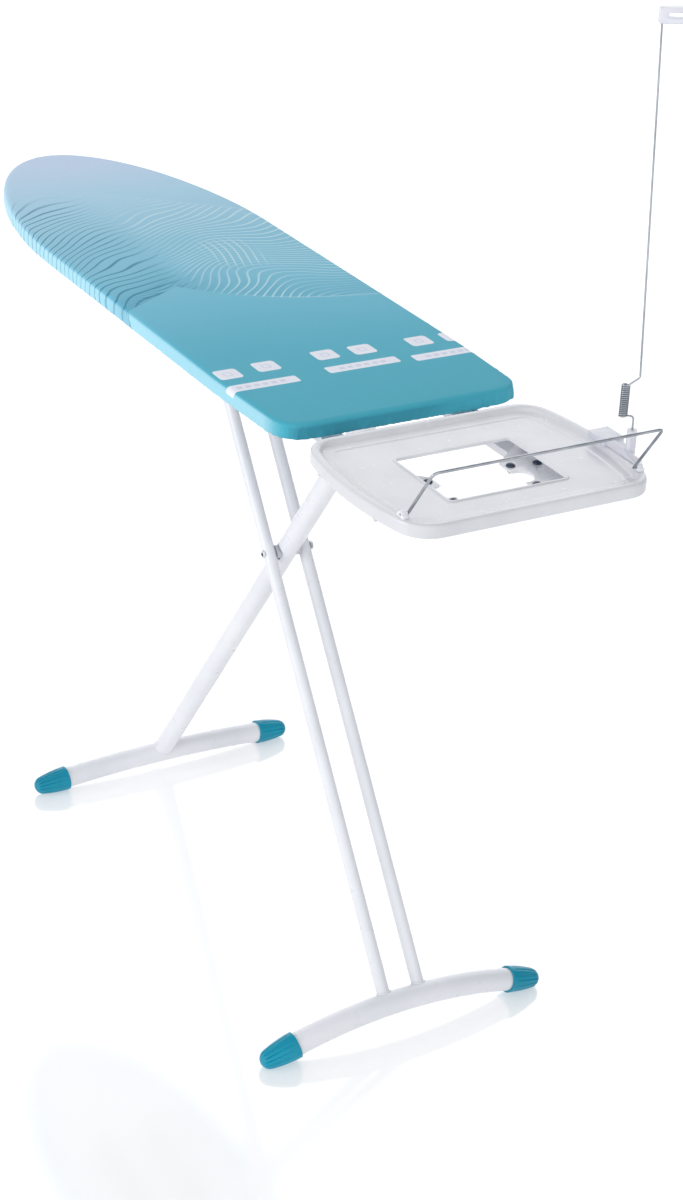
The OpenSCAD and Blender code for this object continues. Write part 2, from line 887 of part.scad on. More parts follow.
// Open-sided clip on the end of the wire
module cable_clip() {
    clip_l = 36;
    clip_h = 19;
    clip_t = 11;
    slot_z = 7;
    slot_h = 6;
    color(tray_white) translate([wire_top_x, wire_top_y, wire_z1]) rotate([0, 0, jog_angle]) difference() {
        translate([-4, -clip_t / 2, 0])
            cube([clip_l, clip_t, clip_h]);
        translate([7, -clip_t, slot_z])
            cube([clip_l, 2 * clip_t, slot_h]);
    }
}

// ---- Feet ----
// Ring or disc swept along the foot's arch, which may run on past each end
module arch_sweep(x, l, arch, over) {
    a = end_angle(l, arch) + over / arch_r(l, arch) * 180 / PI;
    r = arch_r(l, arch);
    translate([x, 0, mid_z(l, arch) - r])
        rotate([90, 0, 90])
            rotate([0, 0, 90 - a])
                rotate_extrude(angle = 2 * a, $fn = ARCH_STEPS)
                    translate([r, 0])
                        children();
}

module at_foot_end(x, l, arch, side) {
    translate([x, side * half_chord(l, arch), end_z(l, arch)])
        rotate([-side * (90 + end_angle(l, arch)), 0, 0])
            children();
}

module foot_tube(x, l, arch) {
    arch_sweep(x, l, arch, cap_socket - tube_end_gap)
        difference() {
            circle(d = foot_tube_d);
            circle(d = foot_tube_d - 2 * foot_wall);
        }
}

// Side of a cap: a long arc that runs smoothly into a round tip
function cap_profile() =
    let (tip_z = cap_l - cap_tip_r, join = atan2(tip_z, cap_side_r - cap_r))
    concat(
        [[0, 0]],
        [for (i = [0:CAP_SIDE_STEPS])
            let (a = join * i / CAP_SIDE_STEPS)
            [cap_r - cap_side_r + cap_side_r * cos(a), cap_side_r * sin(a)]],
        [for (i = [1:CAP_TIP_STEPS - 1])
            let (a = join + (90 - join) * i / CAP_TIP_STEPS)
            [cap_tip_r * cos(a), tip_z + cap_tip_r * sin(a)]],
        [[0, cap_l]]);

module foot_cap(x, l, arch, side) {
    color(teal) difference() {
        at_foot_end(x, l, arch, side)
            rotate_extrude()
                polygon(cap_profile());
        arch_sweep(x, l, arch, cap_socket)
            circle(d = foot_tube_d + hole_gap);
    }
}

module rear_foot_tube() {
    color(white) foot_tube(rear_x, rear_foot_l, rear_arch);
}

module rear_cap_left() {
    foot_cap(rear_x, rear_foot_l, rear_arch, -1);
}

module rear_cap_right() {
    foot_cap(rear_x, rear_foot_l, rear_arch, 1);
}

module front_foot_tube() {
    color(white) foot_tube(front_x, front_foot_l, front_arch);
}

module front_cap_left() {
    foot_cap(front_x, front_foot_l, front_arch, -1);
}

module front_cap_right() {
    foot_cap(front_x, front_foot_l, front_arch, 1);
}

// ---- Rear leg ----
module main_leg_tube() {
    over = 16;
    along = [cos(leg_angle), 0, sin(leg_angle)];
    top = [clevis_x, 0, pivot_z] + over * along;
    bottom = [clevis_x, 0, pivot_z] - (pivot_z - rear_z) / sin(leg_angle) * along;
    color(white) difference() {
        rod(bottom, top, main_tube_d);
        rod(bottom - along, top + along, main_tube_d - 2 * tube_wall);
        arch_sweep(rear_x, rear_foot_l, rear_arch, 0)
            circle(d = foot_tube_d);
        translate([clevis_x, 0, pivot_z])
            y_pin(bush_d + hole_gap, -30, 30);
        for (s = [-1, 1])
            translate([cross_x, 0, cross_z])
                y_pin(26, s > 0 ? spacer_in : -30, s > 0 ? 30 : -spacer_in);
        translate([cross_x, 0, cross_z])
            y_pin(bush_d + hole_gap, -30, 30);
    }
}

module main_leg_bush() {
    color(dark) translate([clevis_x, 0, pivot_z]) difference() {
        y_pin(bush_d, -bush_half, bush_half);
        y_pin(pin_d + 2 * run_gap, -30, 30);
    }
}

module cross_bush() {
    color(dark) translate([cross_x, 0, cross_z]) difference() {
        y_pin(bush_d, -spacer_in, spacer_in);
        y_pin(pin_d + 2 * run_gap, -30, 30);
    }
}

// ---- Front leg ----
module twin_tube(side) {
    over = 12;
    along = [-cos(leg_angle), 0, sin(leg_angle)];
    y = side * twin_y;
    top = [axle_x, y, pivot_z] + over * along;
    bottom = [axle_x, y, pivot_z] - (pivot_z - front_z) / sin(leg_angle) * along;
    color(white) difference() {
        rod(bottom, top, twin_tube_d);
        rod(bottom - along, top + along, twin_tube_d - 2 * tube_wall);
        arch_sweep(front_x, front_foot_l, front_arch, 0)
            circle(d = foot_tube_d);
        translate([axle_x, y, pivot_z])
            y_pin(axle_d + hole_gap, -15, 15);
        translate([cross_x, y, cross_z])
            y_pin(pin_d + hole_gap, -15, 15);
    }
}

module twin_tube_left() {
    twin_tube(-1);
}

module twin_tube_right() {
    twin_tube(1);
}

// Plugs in the open top ends
module tube_plugs() {
    along = [-cos(leg_angle), 0, sin(leg_angle)];
    color(dark) for (s = [-1, 1]) {
        end = [axle_x, s * twin_y, pivot_z] + 12 * along;
        rod(end, end + 2 * along, twin_tube_d);
        rod(end - 5 * along, end, twin_tube_d - 2 * tube_wall - hole_gap);
    }
}

module cross_bolt() {
    out = twin_y + twin_tube_d / 2;
    head_h = 2.8;
    head_r = 9;
    color(steel) translate([cross_x, 0, cross_z]) difference() {
        union() {
            y_pin(pin_d, -out - 0.6, out + 4.2);
            intersection() {
                y_pin(12, -out - head_h, -out);
                translate([0, -out - head_h + head_r, 0])
                    sphere(r = head_r);
            }
        }
        y_pin(5.2, -out - head_h - 1, -out - 1.2);
    }
}

module cross_nut() {
    out = twin_y + twin_tube_d / 2;
    color(steel) translate([cross_x, 0, cross_z]) difference() {
        translate([0, out, 0])
            rotate([-90, 0, 0])
                cylinder(d = 13, h = 3.6, $fn = 6);
        y_pin(pin_d + hole_gap, out - 1, out + 5);
    }
}

module cross_spacers() {
    out = twin_y - twin_tube_d / 2;
    color(dark) translate([cross_x, 0, cross_z]) for (s = [-1, 1]) difference() {
        y_pin(20, s > 0 ? spacer_in + 0.1 : -out, s > 0 ? out : -spacer_in - 0.1);
        y_pin(pin_d + hole_gap, -30, 30);
    }
}

module top_axle() {
    color(steel) translate([axle_x, 0, pivot_z])
        y_pin(axle_d, -rail_y - 8, brake_y + 10);
}

board_core();
board_pad();
cover();
guide_rail_left();
guide_rail_right();
deck_rivets();
tail_clevis();
clevis_pin();
lever_bracket();
lever_pin();
brake_housing();
brake_spring();
tray_arm_left();
tray_arm_right();
arm_spacers();
arm_screws();
tray_bracket_left();
tray_bracket_right();
bracket_screws();
bracket_nuts();
tray_shell();
tray_screws();
bail_clip_left();
bail_clip_right();
cable_socket();
socket_screw();
main_leg_tube();
main_leg_bush();
cross_bush();
rear_foot_tube();
rear_cap_left();
rear_cap_right();
twin_tube_left();
twin_tube_right();
tube_plugs();
front_foot_tube();
front_cap_left();
front_cap_right();
cross_bolt();
cross_nut();
cross_spacers();
top_axle();
slide_shoe_left();
slide_shoe_right();
brake_rod();
brake_plate();
height_lever();
release_rod();
bail();
holder_foot_wire();
holder_spring();
holder_wire();
cable_clip();
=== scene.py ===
import json
import math
import random
from contextlib import contextmanager

import bmesh
import bpy
import numpy as np
from mathutils import Matrix, Vector, noise


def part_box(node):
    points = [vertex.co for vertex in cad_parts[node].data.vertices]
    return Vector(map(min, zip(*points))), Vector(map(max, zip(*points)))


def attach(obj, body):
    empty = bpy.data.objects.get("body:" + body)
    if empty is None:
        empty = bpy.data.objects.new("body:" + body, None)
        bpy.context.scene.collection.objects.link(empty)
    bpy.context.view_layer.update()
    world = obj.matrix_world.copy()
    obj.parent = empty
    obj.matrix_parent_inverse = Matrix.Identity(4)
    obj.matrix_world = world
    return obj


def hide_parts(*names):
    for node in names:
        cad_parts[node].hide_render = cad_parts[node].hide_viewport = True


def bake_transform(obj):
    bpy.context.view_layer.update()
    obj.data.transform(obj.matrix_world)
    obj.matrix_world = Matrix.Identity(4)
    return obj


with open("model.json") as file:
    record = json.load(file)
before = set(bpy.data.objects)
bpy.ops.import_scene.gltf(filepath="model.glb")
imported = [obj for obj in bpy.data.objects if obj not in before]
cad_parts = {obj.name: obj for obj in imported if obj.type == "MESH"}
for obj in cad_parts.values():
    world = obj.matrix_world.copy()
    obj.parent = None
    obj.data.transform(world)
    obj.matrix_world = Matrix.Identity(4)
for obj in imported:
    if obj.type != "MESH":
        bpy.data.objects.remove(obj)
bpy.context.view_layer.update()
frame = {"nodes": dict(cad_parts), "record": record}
random.seed(7)

MM = 0.001
TAU = 2 * math.pi
JOINT_AT = {j["name"]: Vector(j["pos_m"]) for j in frame["record"]["behaviour"]["joints"] if "pos_m" in j}
BODY_OF = {node: body for body, rows in frame["record"]["behaviour"]["bodies"].items() for node in rows}
SLOT_OF = {row["node"]: row["material_slot"] for row in frame["record"]["subparts"]}
CROSSING = JOINT_AT["leg_cross"]


# ---------------------------------------------------------------- material graphs
class Graph:
    """A node material with short calls for the nodes that the looks here are made of."""

    def __init__(self, name):
        self.material = bpy.data.materials.new(name)
        self.material.use_nodes = True
        self.tree = self.material.node_tree
        self.tree.nodes.clear()
        self.shader = self.tree.nodes.new("ShaderNodeBsdfPrincipled")
        out = self.tree.nodes.new("ShaderNodeOutputMaterial")
        self.tree.links.new(self.shader.outputs[0], out.inputs["Surface"])

    def put(self, socket, value):
        if isinstance(value, bpy.types.NodeSocket):
            self.tree.links.new(value, socket)
        elif value is not None:
            if socket.type == "RGBA" and len(value) == 3:
                value = (*value, 1)
            socket.default_value = value

    def node(self, kind, sockets=(), **settings):
        made = self.tree.nodes.new(kind)
        for key, value in settings.items():
            setattr(made, key, value)
        for key, value in dict(sockets).items():
            self.put(made.inputs[key], value)
        return made

    def set(self, **values):
        for key, value in values.items():
            self.put(self.shader.inputs[key.replace("_", " ")], value)

    def math(self, operation, a, b=None, c=None):
        made = self.node("ShaderNodeMath", operation=operation)
        for socket, value in zip(made.inputs, (a, b, c)):
            self.put(socket, value)
        return made.outputs[0]

    def times(self, first, *others):
        for other in others:
            first = self.math("MULTIPLY", first, other)
        return first

    def highest(self, first, *others):
        for other in others:
            first = self.math("MAXIMUM", first, other)
        return first

    def minus(self, a, b):
        return self.math("SUBTRACT", a, b)

    def scaled(self, a, by, plus):
        """a * by + plus"""
        return self.math("MULTIPLY_ADD", a, by, plus)

    def length(self, a, b):
        """Distance of the point (a, b) from the origin."""
        return self.math("SQRT", self.scaled(a, a, self.times(b, b)))

    def step(self, value, low, high):
        """0 below low, 1 above high, smooth between them; low may be the larger."""
        made = self.node("ShaderNodeMapRange", interpolation_type="SMOOTHSTEP")
        for key, v in zip(("Value", "From Min", "From Max"), (value, low, high)):
            self.put(made.inputs[key], v)
        return made.outputs[0]

    def mix(self, share, a, b):
        made = self.node("ShaderNodeMix", data_type="RGBA")
        self.put(made.inputs[0], share)
        self.put(made.inputs[6], a)
        self.put(made.inputs[7], b)
        return made.outputs[2]

    def ramp(self, value, stops, interpolation="LINEAR"):
        made = self.node("ShaderNodeValToRGB")
        made.color_ramp.interpolation = interpolation
        while len(made.color_ramp.elements) < len(stops):
            made.color_ramp.elements.new(0.5)
        for element, (place, colour) in zip(made.color_ramp.elements, stops):
            element.position = place
            element.color = (*colour, 1)
        self.put(made.inputs[0], value)
        return made.outputs[0]

    def place(self):
        return self.node("ShaderNodeTexCoord").outputs["Object"]

    def xyz(self, vector):
        return self.node("ShaderNodeSeparateXYZ", {0: vector}).outputs

    def noise(self, scale, detail=2, rough=0.5, vector=None):
        made = self.node("ShaderNodeTexNoise", {"Scale": scale, "Detail": detail, "Roughness": rough})
        self.put(made.inputs["Vector"], vector or self.place())
        return made.outputs["Fac"]

    def stretched(self, scale):
        return self.node("ShaderNodeVectorMath", {0: self.place(), 1: scale}, operation="MULTIPLY").outputs[0]

    def bump(self, height, distance, strength=1.0, normal=None):
        made = self.node("ShaderNodeBump", {"Height": height, "Distance": distance, "Strength": strength})
        if normal:
            self.put(made.inputs["Normal"], normal)
        return made.outputs[0]


def srgb(r, g, b):
    """Linear colour of an sRGB colour from 0 to 255."""
    return tuple(((c / 255 + 0.055) / 1.055) ** 2.4 if c > 10 else c / 3295 for c in (r, g, b))


def powder_coat():
    g = Graph("powder_coat")
    tone = g.step(g.noise(9, 3), 0.35, 0.65)
    g.set(Base_Color=g.mix(tone, srgb(220, 222, 227), srgb(227, 228, 233)))
    peel = g.noise(620, 2)
    g.set(Roughness=g.scaled(g.noise(40, 2), 0.1, 0.24), Coat_Weight=0.35, Coat_Roughness=0.22)
    g.set(Normal=g.bump(peel, 0.00004, 0.2))
    return g.material


def gloss_plastic(name, low, high, rough, coat, shine=0.5):
    g = Graph(name)
    tone = g.step(g.noise(14, 3), 0.3, 0.7)
    g.set(Base_Color=g.mix(tone, low, high))
    g.set(Roughness=g.scaled(g.noise(70, 3), 0.08, rough), Coat_Weight=coat, Coat_Roughness=0.2)
    g.set(Specular_IOR_Level=shine)
    g.set(Normal=g.bump(g.noise(900, 2), 0.00003, 0.1))
    return g.material


def steel(name, low, high, rough, along=(1, 1, 1)):
    g = Graph(name)
    grain = g.noise(300, 4, 0.6, g.stretched(along))
    tone = g.step(g.noise(35, 3), 0.3, 0.7)
    g.set(Base_Color=g.mix(tone, low, high), Metallic=1.0)
    g.set(Roughness=g.scaled(grain, 0.16, rough))
    g.set(Normal=g.bump(grain, 0.00004, 0.5))
    return g.material


def milky_plastic():
    g = Graph("milky_plastic")
    g.set(Base_Color=g.mix(g.noise(20, 2), srgb(232, 234, 244), srgb(242, 243, 250)))
    g.set(Roughness=g.scaled(g.noise(90, 2), 0.1, 0.2), IOR=1.45, Transmission_Weight=0.3)
    g.set(Subsurface_Weight=0.15, Subsurface_Scale=0.004)
    g.set(Normal=g.bump(g.noise(500, 2), 0.00003, 0.3))
    return g.material


def dark_plastic():
    g = Graph("dark_plastic")
    grain = g.noise(800, 2)
    g.set(Base_Color=g.mix(g.noise(30, 2), srgb(38, 42, 48), srgb(52, 56, 64)))
    g.set(Roughness=g.scaled(grain, 0.2, 0.35), Normal=g.bump(grain, 0.00005, 0.6))
    return g.material


def recessed_bolt():
    """Pale bolt along Y through the crossing of the legs, with painted shade inside the recess of its head.
    """
    g = Graph("recessed_bolt")
    x, _, z = g.xyz(g.place())[:3]
    from_axis = g.length(g.minus(x, CROSSING.x), g.minus(z, CROSSING.z))
    # Painted shade: the recess is coloured dark
    recess = g.step(from_axis, 3.4 * MM, 2.6 * MM)
    pale = g.mix(g.noise(90, 2), srgb(196, 199, 205), srgb(214, 216, 221))
    g.set(Base_Color=g.mix(recess, pale, srgb(48, 52, 60)), Metallic=0.25)
    g.set(Roughness=g.scaled(g.noise(400, 2), 0.15, 0.3))
    return g.material


def felt():
    g = Graph("felt")
    fuzz = g.noise(700, 5, 0.7)
    g.set(Base_Color=g.mix(fuzz, srgb(205, 203, 196), srgb(232, 230, 224)), Roughness=0.95)
    g.set(Sheen_Weight=0.4, Sheen_Roughness=0.6, Normal=g.bump(fuzz, 0.0004, 0.8))
    return g.material


# ---------------------------------------------------------------- the board's outline
cover_low, cover_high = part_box("cover")
NOSE_X, TAIL_X = cover_low.x, cover_high.x
HALF_W, TOP_Z, HEM_Z = cover_high.y, cover_high.z, cover_low.z
NOSE_L, NOSE_POWER, NOSE_ROOT = 440 * MM, 1.82, 1.99
TAPER_L, TAPER_POWER, TAIL_HALF_W = 204 * MM, 1.6, 184 * MM
CORNER_R = 40 * MM


def even(points, count):
    """count points at even spacing along a line of points, both ends kept."""
    points = np.array(points)
    run = np.concatenate([[0], np.cumsum(np.linalg.norm(np.diff(points, axis=0), axis=1))])
    at = np.linspace(0, run[-1], count)
    return np.stack([np.interp(at, run, points[:, k]) for k in range(points.shape[1])], axis=1)


def half_board():
    """From the nose's tip along the +Y side to the middle of the tail."""
    points = []
    for i in range(241):
        u = math.cos(math.pi / 2 * i / 240)
        half = HALF_W * max(0, 1 - u**NOSE_POWER) ** (1 / NOSE_ROOT)
        points.append((NOSE_X + NOSE_L * (1 - u), half))
    for i in range(1, 61):
        t = i / 60
        half = HALF_W - (HALF_W - TAIL_HALF_W) * t**TAPER_POWER
        points.append((TAIL_X - TAPER_L + (TAPER_L - CORNER_R) * t, half))
    for i in range(1, 41):
        a = math.pi / 2 * i / 40
        x, half = CORNER_R * math.sin(a), CORNER_R * math.cos(a)
        points.append((TAIL_X - CORNER_R + x, TAIL_HALF_W - CORNER_R + half))
    points.append((TAIL_X, 0))
    return points


def mirrored(half, count):
    """A closed outline from its +Y half: count points a side, counter-clockwise from above."""
    right = even(half, count + 1)
    left = right[1:-1][::-1] * (1, -1)
    return np.concatenate([right, left])[::-1]


def normals(outline):
    """Outward unit normals of a closed counter-clockwise outline."""
    d = np.roll(outline, -1, axis=0) - np.roll(outline, 1, axis=0)
    n = np.stack([d[:, 1], -d[:, 0]], axis=1)
    return n / np.linalg.norm(n, axis=1)[:, None]


def new_object(name, bm_or_parts, material, smooth=True):
    mesh = bpy.data.meshes.new(name)
    if isinstance(bm_or_parts, bmesh.types.BMesh):
        bm_or_parts.normal_update()
        bm_or_parts.to_mesh(mesh)
        bm_or_parts.free()
    else:
        mesh.from_pydata(*bm_or_parts)
    mesh.materials.append(material)
    if smooth:
        mesh.shade_smooth()
    made = bpy.data.objects.new(name, mesh)
    bpy.context.scene.collection.objects.link(made)
    return made


def loft(rings, closed_path=False):
    """(vertices, edges, faces) of quads between rings of equally many points."""
    count = len(rings[0])
    vertices = [tuple(p) for ring in rings for p in ring]
    faces = []
    for k in range(len(rings) - (0 if closed_path else 1)):
        a, b = k * count, (k + 1) % len(rings) * count
        faces += [(a + i, a + (i + 1) % count, b + (i + 1) % count, b + i) for i in range(count)]
    return vertices, [], faces


@contextmanager
def edited(obj):
    """The mesh of obj as a bmesh, which is written back at the end."""
    bm = bmesh.new()
    bm.from_mesh(obj.data)
    yield bm
    bm.to_mesh(obj.data)
    bm.free()


def modify(obj, kind, **settings):
    made = obj.modifiers.new(kind.title(), kind)
    for key, value in settings.items():
        setattr(made, key, value)
    return made


def apply_modifiers(obj):
    dg = bpy.context.evaluated_depsgraph_get()
    mesh = bpy.data.meshes.new_from_object(obj.evaluated_get(dg))
    obj.modifiers.clear()
    obj.data = mesh


# ---------------------------------------------------------------- cover
COVER_POINTS = 480
# Distance in from the board's edge and height below its top, from the hem's inner edge up to the flat top
COVER_PROFILE = [
    (32, 22.4), (29, 22.35), (25, 22.3), (20, 22.25), (15, 22.25), (10, 22.25), (6, 22.22), (3.4, 22.2),
    (2.2, 22.15), (1.2, 21.85), (0.65, 21.3), (0.4, 20.4), (0.25, 19), (0.15, 17), (0.1, 14.5), (0.1, 12),
    (0.15, 9.5), (0.3, 7.2), (0.7, 5.0), (1.5, 3.1), (2.9, 1.6), (5.0, 0.75), (8.5, 0.45), (13, 0.4),
    (19, 0.4), (27, 0.4),
]
# Height of the side wall; the turned-in hem lies below HEM_DOWN and starts HEM_IN in from the edge
SIDE_WALL, HEM_DOWN, HEM_IN = 22, 20, 1
HEM_L = COVER_PROFILE[0][0] - HEM_IN
# The flat top narrows to a line that ends this far from the nose and from the tail
CORE_NOSE, CORE_TAIL = 0.15, 0.13
CLOTH_T = 0.5
CLOTH_FRAMES = 20

PRINT_DEEP, PRINT_DARK, PRINT_PALE = srgb(78, 160, 190), srgb(48, 128, 160), srgb(205, 230, 236)
# Painted light for the cover's long sides, and painted shade for the tail's edge
SIDE_PAINTED_LIGHT, TAIL_PAINTED_SHADE = srgb(192, 236, 250), srgb(28, 106, 130)
PATCH_WHITE, PATCH_MARK = srgb(233, 236, 246), srgb(196, 200, 222)
# The fade's colours, from the tail to the nose, over this length
FADE_L = 1.2
FADE = [
    (0.0, srgb(69, 169, 190)), (0.2, srgb(80, 175, 198)), (0.38, srgb(110, 188, 212)),
    (0.6, srgb(138, 196, 219)), (0.8, srgb(170, 210, 231)), (1.0, srgb(196, 214, 238)),
]
# Where the print's plain tail part meets its lines, from the tail along the middle
BORDER_X = -0.529
# Centres of the patches: distance from the tail, distance across
BUTTONS = [
    (-0.192, -0.167), (-0.198, -0.106), (-0.204, -0.011), (-0.202, 0.047), (-0.199, 0.137), (-0.197, 0.192),
]
BARS = [(-0.143, -0.142), (-0.1515, 0.019), (-0.144, 0.152)]


def print_lines(g, flat, tail, across):
    """(shade, dark, pale): the deeper tone up to the border, and the two families of flowing lines."""

    def soft_noise(scale, detail):
        sockets = {"Vector": flat, "Scale": scale, "Detail": detail}
        return g.node("ShaderNodeTexNoise", sockets).outputs["Fac"]

    def lines(field, pitch, width):
        return g.step(g.math("PINGPONG", field, pitch / 2), width, g.times(width, 0.35))

    def bell(value, middle, half):
        """1 at the middle, 0 beyond half to either side of it."""
        return g.step(g.math("ABSOLUTE", g.minus(value, middle)), half, half * 0.4)

    # Dark lines: steep at the left edge, easing to a slope of 0.3
    from_left = g.highest(g.math("ADD", across, HALF_W - 0.004), 0)
    ease = g.minus(1, g.math("EXPONENT", g.math("DIVIDE", from_left, -0.075)))
    dark_field = g.scaled(ease, 0.0525, g.scaled(from_left, 0.3, tail))
    dark_field = g.scaled(soft_noise(3.4, 0.6), 0.19, dark_field)
    dark_field = g.scaled(soft_noise(8.5, 0.4), 0.055, dark_field)
    # Pale lines: a gentle S across the right-hand side
    sweep = g.times(g.math("SINE", g.scaled(across, 16, 0.4)), 0.02)
    pale_field = g.scaled(across, 0.34, g.math("ADD", tail, sweep))
    pale_field = g.scaled(soft_noise(4.2, 0.8), 0.21, pale_field)

    # The border towards the tail is a curve on the right and a straight slope on the left
    edge = g.math("EXPONENT", g.times(g.math("ADD", across, 0.081), -1 / 0.13))
    right = g.scaled(edge, -0.16, BORDER_X + 0.16)
    left = g.scaled(across, -0.62, BORDER_X - 0.05)
    below = g.minus(tail, g.highest(right, left))
    inside = g.step(below, 0.0015, -0.0015)
    shade = g.times(g.step(below, -0.13, 0), inside)
    rim = g.times(bell(below, 0, 0.0022), g.step(across, -0.06, 0.06))
    # The pale lines end towards the nose on a straight slope
    beyond = g.minus(tail, g.scaled(across, 0.84, -0.968))
    nose_rim = g.times(bell(beyond, 0, 0.0018), g.step(across, -0.05, 0.04))

    patchy = g.scaled(g.step(g.noise(6, 1, 0.5, flat), 0.32, 0.6), 0.65, 0.35)
    on_right = g.step(across, -0.075, -0.01)
    pale = g.times(lines(pale_field, 0.014, 0.0021), g.step(beyond, 0.0, 0.006), on_right, patchy)
    # A small net, where a second family of lines crosses the pale ones
    net_field = g.math("ADD", across, g.times(g.math("SINE", g.times(tail, 21)), 0.014))
    net_on = g.times(bell(tail, -0.635, 0.085), bell(across, 0.066, 0.052))
    pale = g.highest(pale, g.times(lines(net_field, 0.0125, 0.0019), net_on))
    pale = g.highest(pale, g.times(g.highest(rim, nose_rim), 0.6))
    pale = g.times(pale, g.step(below, 0.003, 0.001))

    width = g.scaled(soft_noise(9, 0), 0.0034, 0.0008)
    dark_on = g.times(g.step(tail, -1.0, -0.9), g.step(across, -0.015, -0.115))
    dark = g.times(lines(dark_field, 0.0175, width), inside, dark_on)
    # Closer lines where the border reaches the left edge
    pinch = g.times(g.step(below, -0.055, -0.005), g.step(across, -0.045, -0.1))
    dark = g.highest(dark, g.times(lines(pale_field, 0.0062, 0.0012), inside, pinch))
    return shade, dark, pale


def print_patches(g, tail, across):
    """(white, marks): the pale patches near the tail, and the faint generic marks on them."""

    def patch(cx, cy, half_x, half_y, radius):
        """A rectangle with rounded corners."""
        dx = g.highest(g.minus(g.math("ABSOLUTE", g.minus(tail, cx)), half_x - radius), 0)
        dy = g.highest(g.minus(g.math("ABSOLUTE", g.minus(across, cy)), half_y - radius), 0)
        return g.step(g.length(dx, dy), radius + 0.0004, radius - 0.0004)

    white, marks = [], []
    for cx, cy in BUTTONS:
        white.append(patch(cx, cy, 0.0165, 0.0175, 0.006))
        marks.append(g.minus(patch(cx, cy, 0.0065, 0.0065, 0.003), patch(cx, cy, 0.0045, 0.0045, 0.002)))
    for cx, cy in BARS:
        white.append(patch(cx, cy, 0.0108, 0.056, 0.004))
        row = g.step(g.math("PINGPONG", g.minus(across, cy), 0.0065), 0.0018, 0.0026)
        marks.append(g.times(row, patch(cx, cy, 0.004, 0.042, 0.0015)))
    return g.highest(*white), g.highest(*marks)


def cover_print(g):
    """(colour, flat place) of the printed cover: a long fade, flowing lines and two rows of patches, with
    painted light on the long sides and painted shade on the tail's edge.
    """
    x, y, z = g.xyz(g.place())[:3]
    # Distance from the tail, and the distance across with the sides folded out flat
    tail = g.minus(x, TAIL_X)
    drop = g.minus(TOP_Z, z)
    across = g.scaled(g.math("SIGN", y), drop, y)
    flat = g.node("ShaderNodeCombineXYZ", {0: tail, 1: across}).outputs[0]

    share = g.math("DIVIDE", tail, -FADE_L)
    colour = g.ramp(g.scaled(g.noise(2.2, 2, 0.5, flat), 0.16, g.minus(share, 0.08)), FADE)
    # The long sides are painted paler than the top, as painted light where they catch the lamp, and the
    # tail's edge is painted darker up to its right-hand corner, as painted shade
    on_side = g.times(g.step(drop, 0.0015, 0.005), g.step(tail, -0.012, -0.06))
    on_tail = g.times(g.step(drop, 0.002, 0.008), g.step(tail, -0.016, -0.002))
    colour = g.mix(g.times(on_side, 0.6), colour, SIDE_PAINTED_LIGHT)
    # Painted shade on the tail's edge, strongest on its left half
    colour = g.mix(g.times(on_tail, g.scaled(g.step(across, 0.1, 0.02), 0.45, 0.05)), colour, TAIL_PAINTED_SHADE)
    shade, dark, pale = print_lines(g, flat, tail, across)
    colour = g.mix(g.times(shade, 0.32), colour, PRINT_DEEP)
    # The dark lines are mixed in more weakly on the long sides, along with the painted light there
    colour = g.mix(g.times(dark, g.scaled(on_side, -0.35, 0.85)), colour, PRINT_DARK)
    colour = g.mix(g.times(pale, 0.72), colour, PRINT_PALE)
    white, marks = print_patches(g, tail, across)
    colour = g.mix(white, colour, PATCH_WHITE)
    return g.mix(g.times(marks, 0.5), colour, PATCH_MARK), flat


def cover_cloth():
    g = Graph("cover_cloth")
    colour, flat = cover_print(g)
    fx, fy = g.xyz(flat)[:2]

    def thread(value, pitch):
        return g.math("SINE", g.times(value, TAU / pitch))

    weave = g.times(thread(fx, 0.0011), thread(fy, 0.0011))
    grid = g.highest(g.step(thread(fx, 0.0042), 0.6, 1), g.step(thread(fy, 0.0042), 0.6, 1))
    slub = g.noise(260, 3, 0.6)
    tone = g.scaled(grid, 0.10, g.scaled(slub, 0.12, 0.89))
    value = g.node("ShaderNodeHueSaturation", {"Value": tone, "Color": colour}).outputs[0]
    g.set(Base_Color=value, Roughness=g.scaled(slub, 0.12, 0.62))
    g.set(Sheen_Weight=0.06, Sheen_Roughness=0.4, Specular_IOR_Level=0.2)
    cloth = g.scaled(weave, 0.35, g.scaled(grid, 0.35, slub))
    fold = g.bump(g.noise(16, 2, 0.5), 0.0008, 0.35)
    g.set(Normal=g.bump(cloth, 0.00025, 0.55, fold))
    return g.material


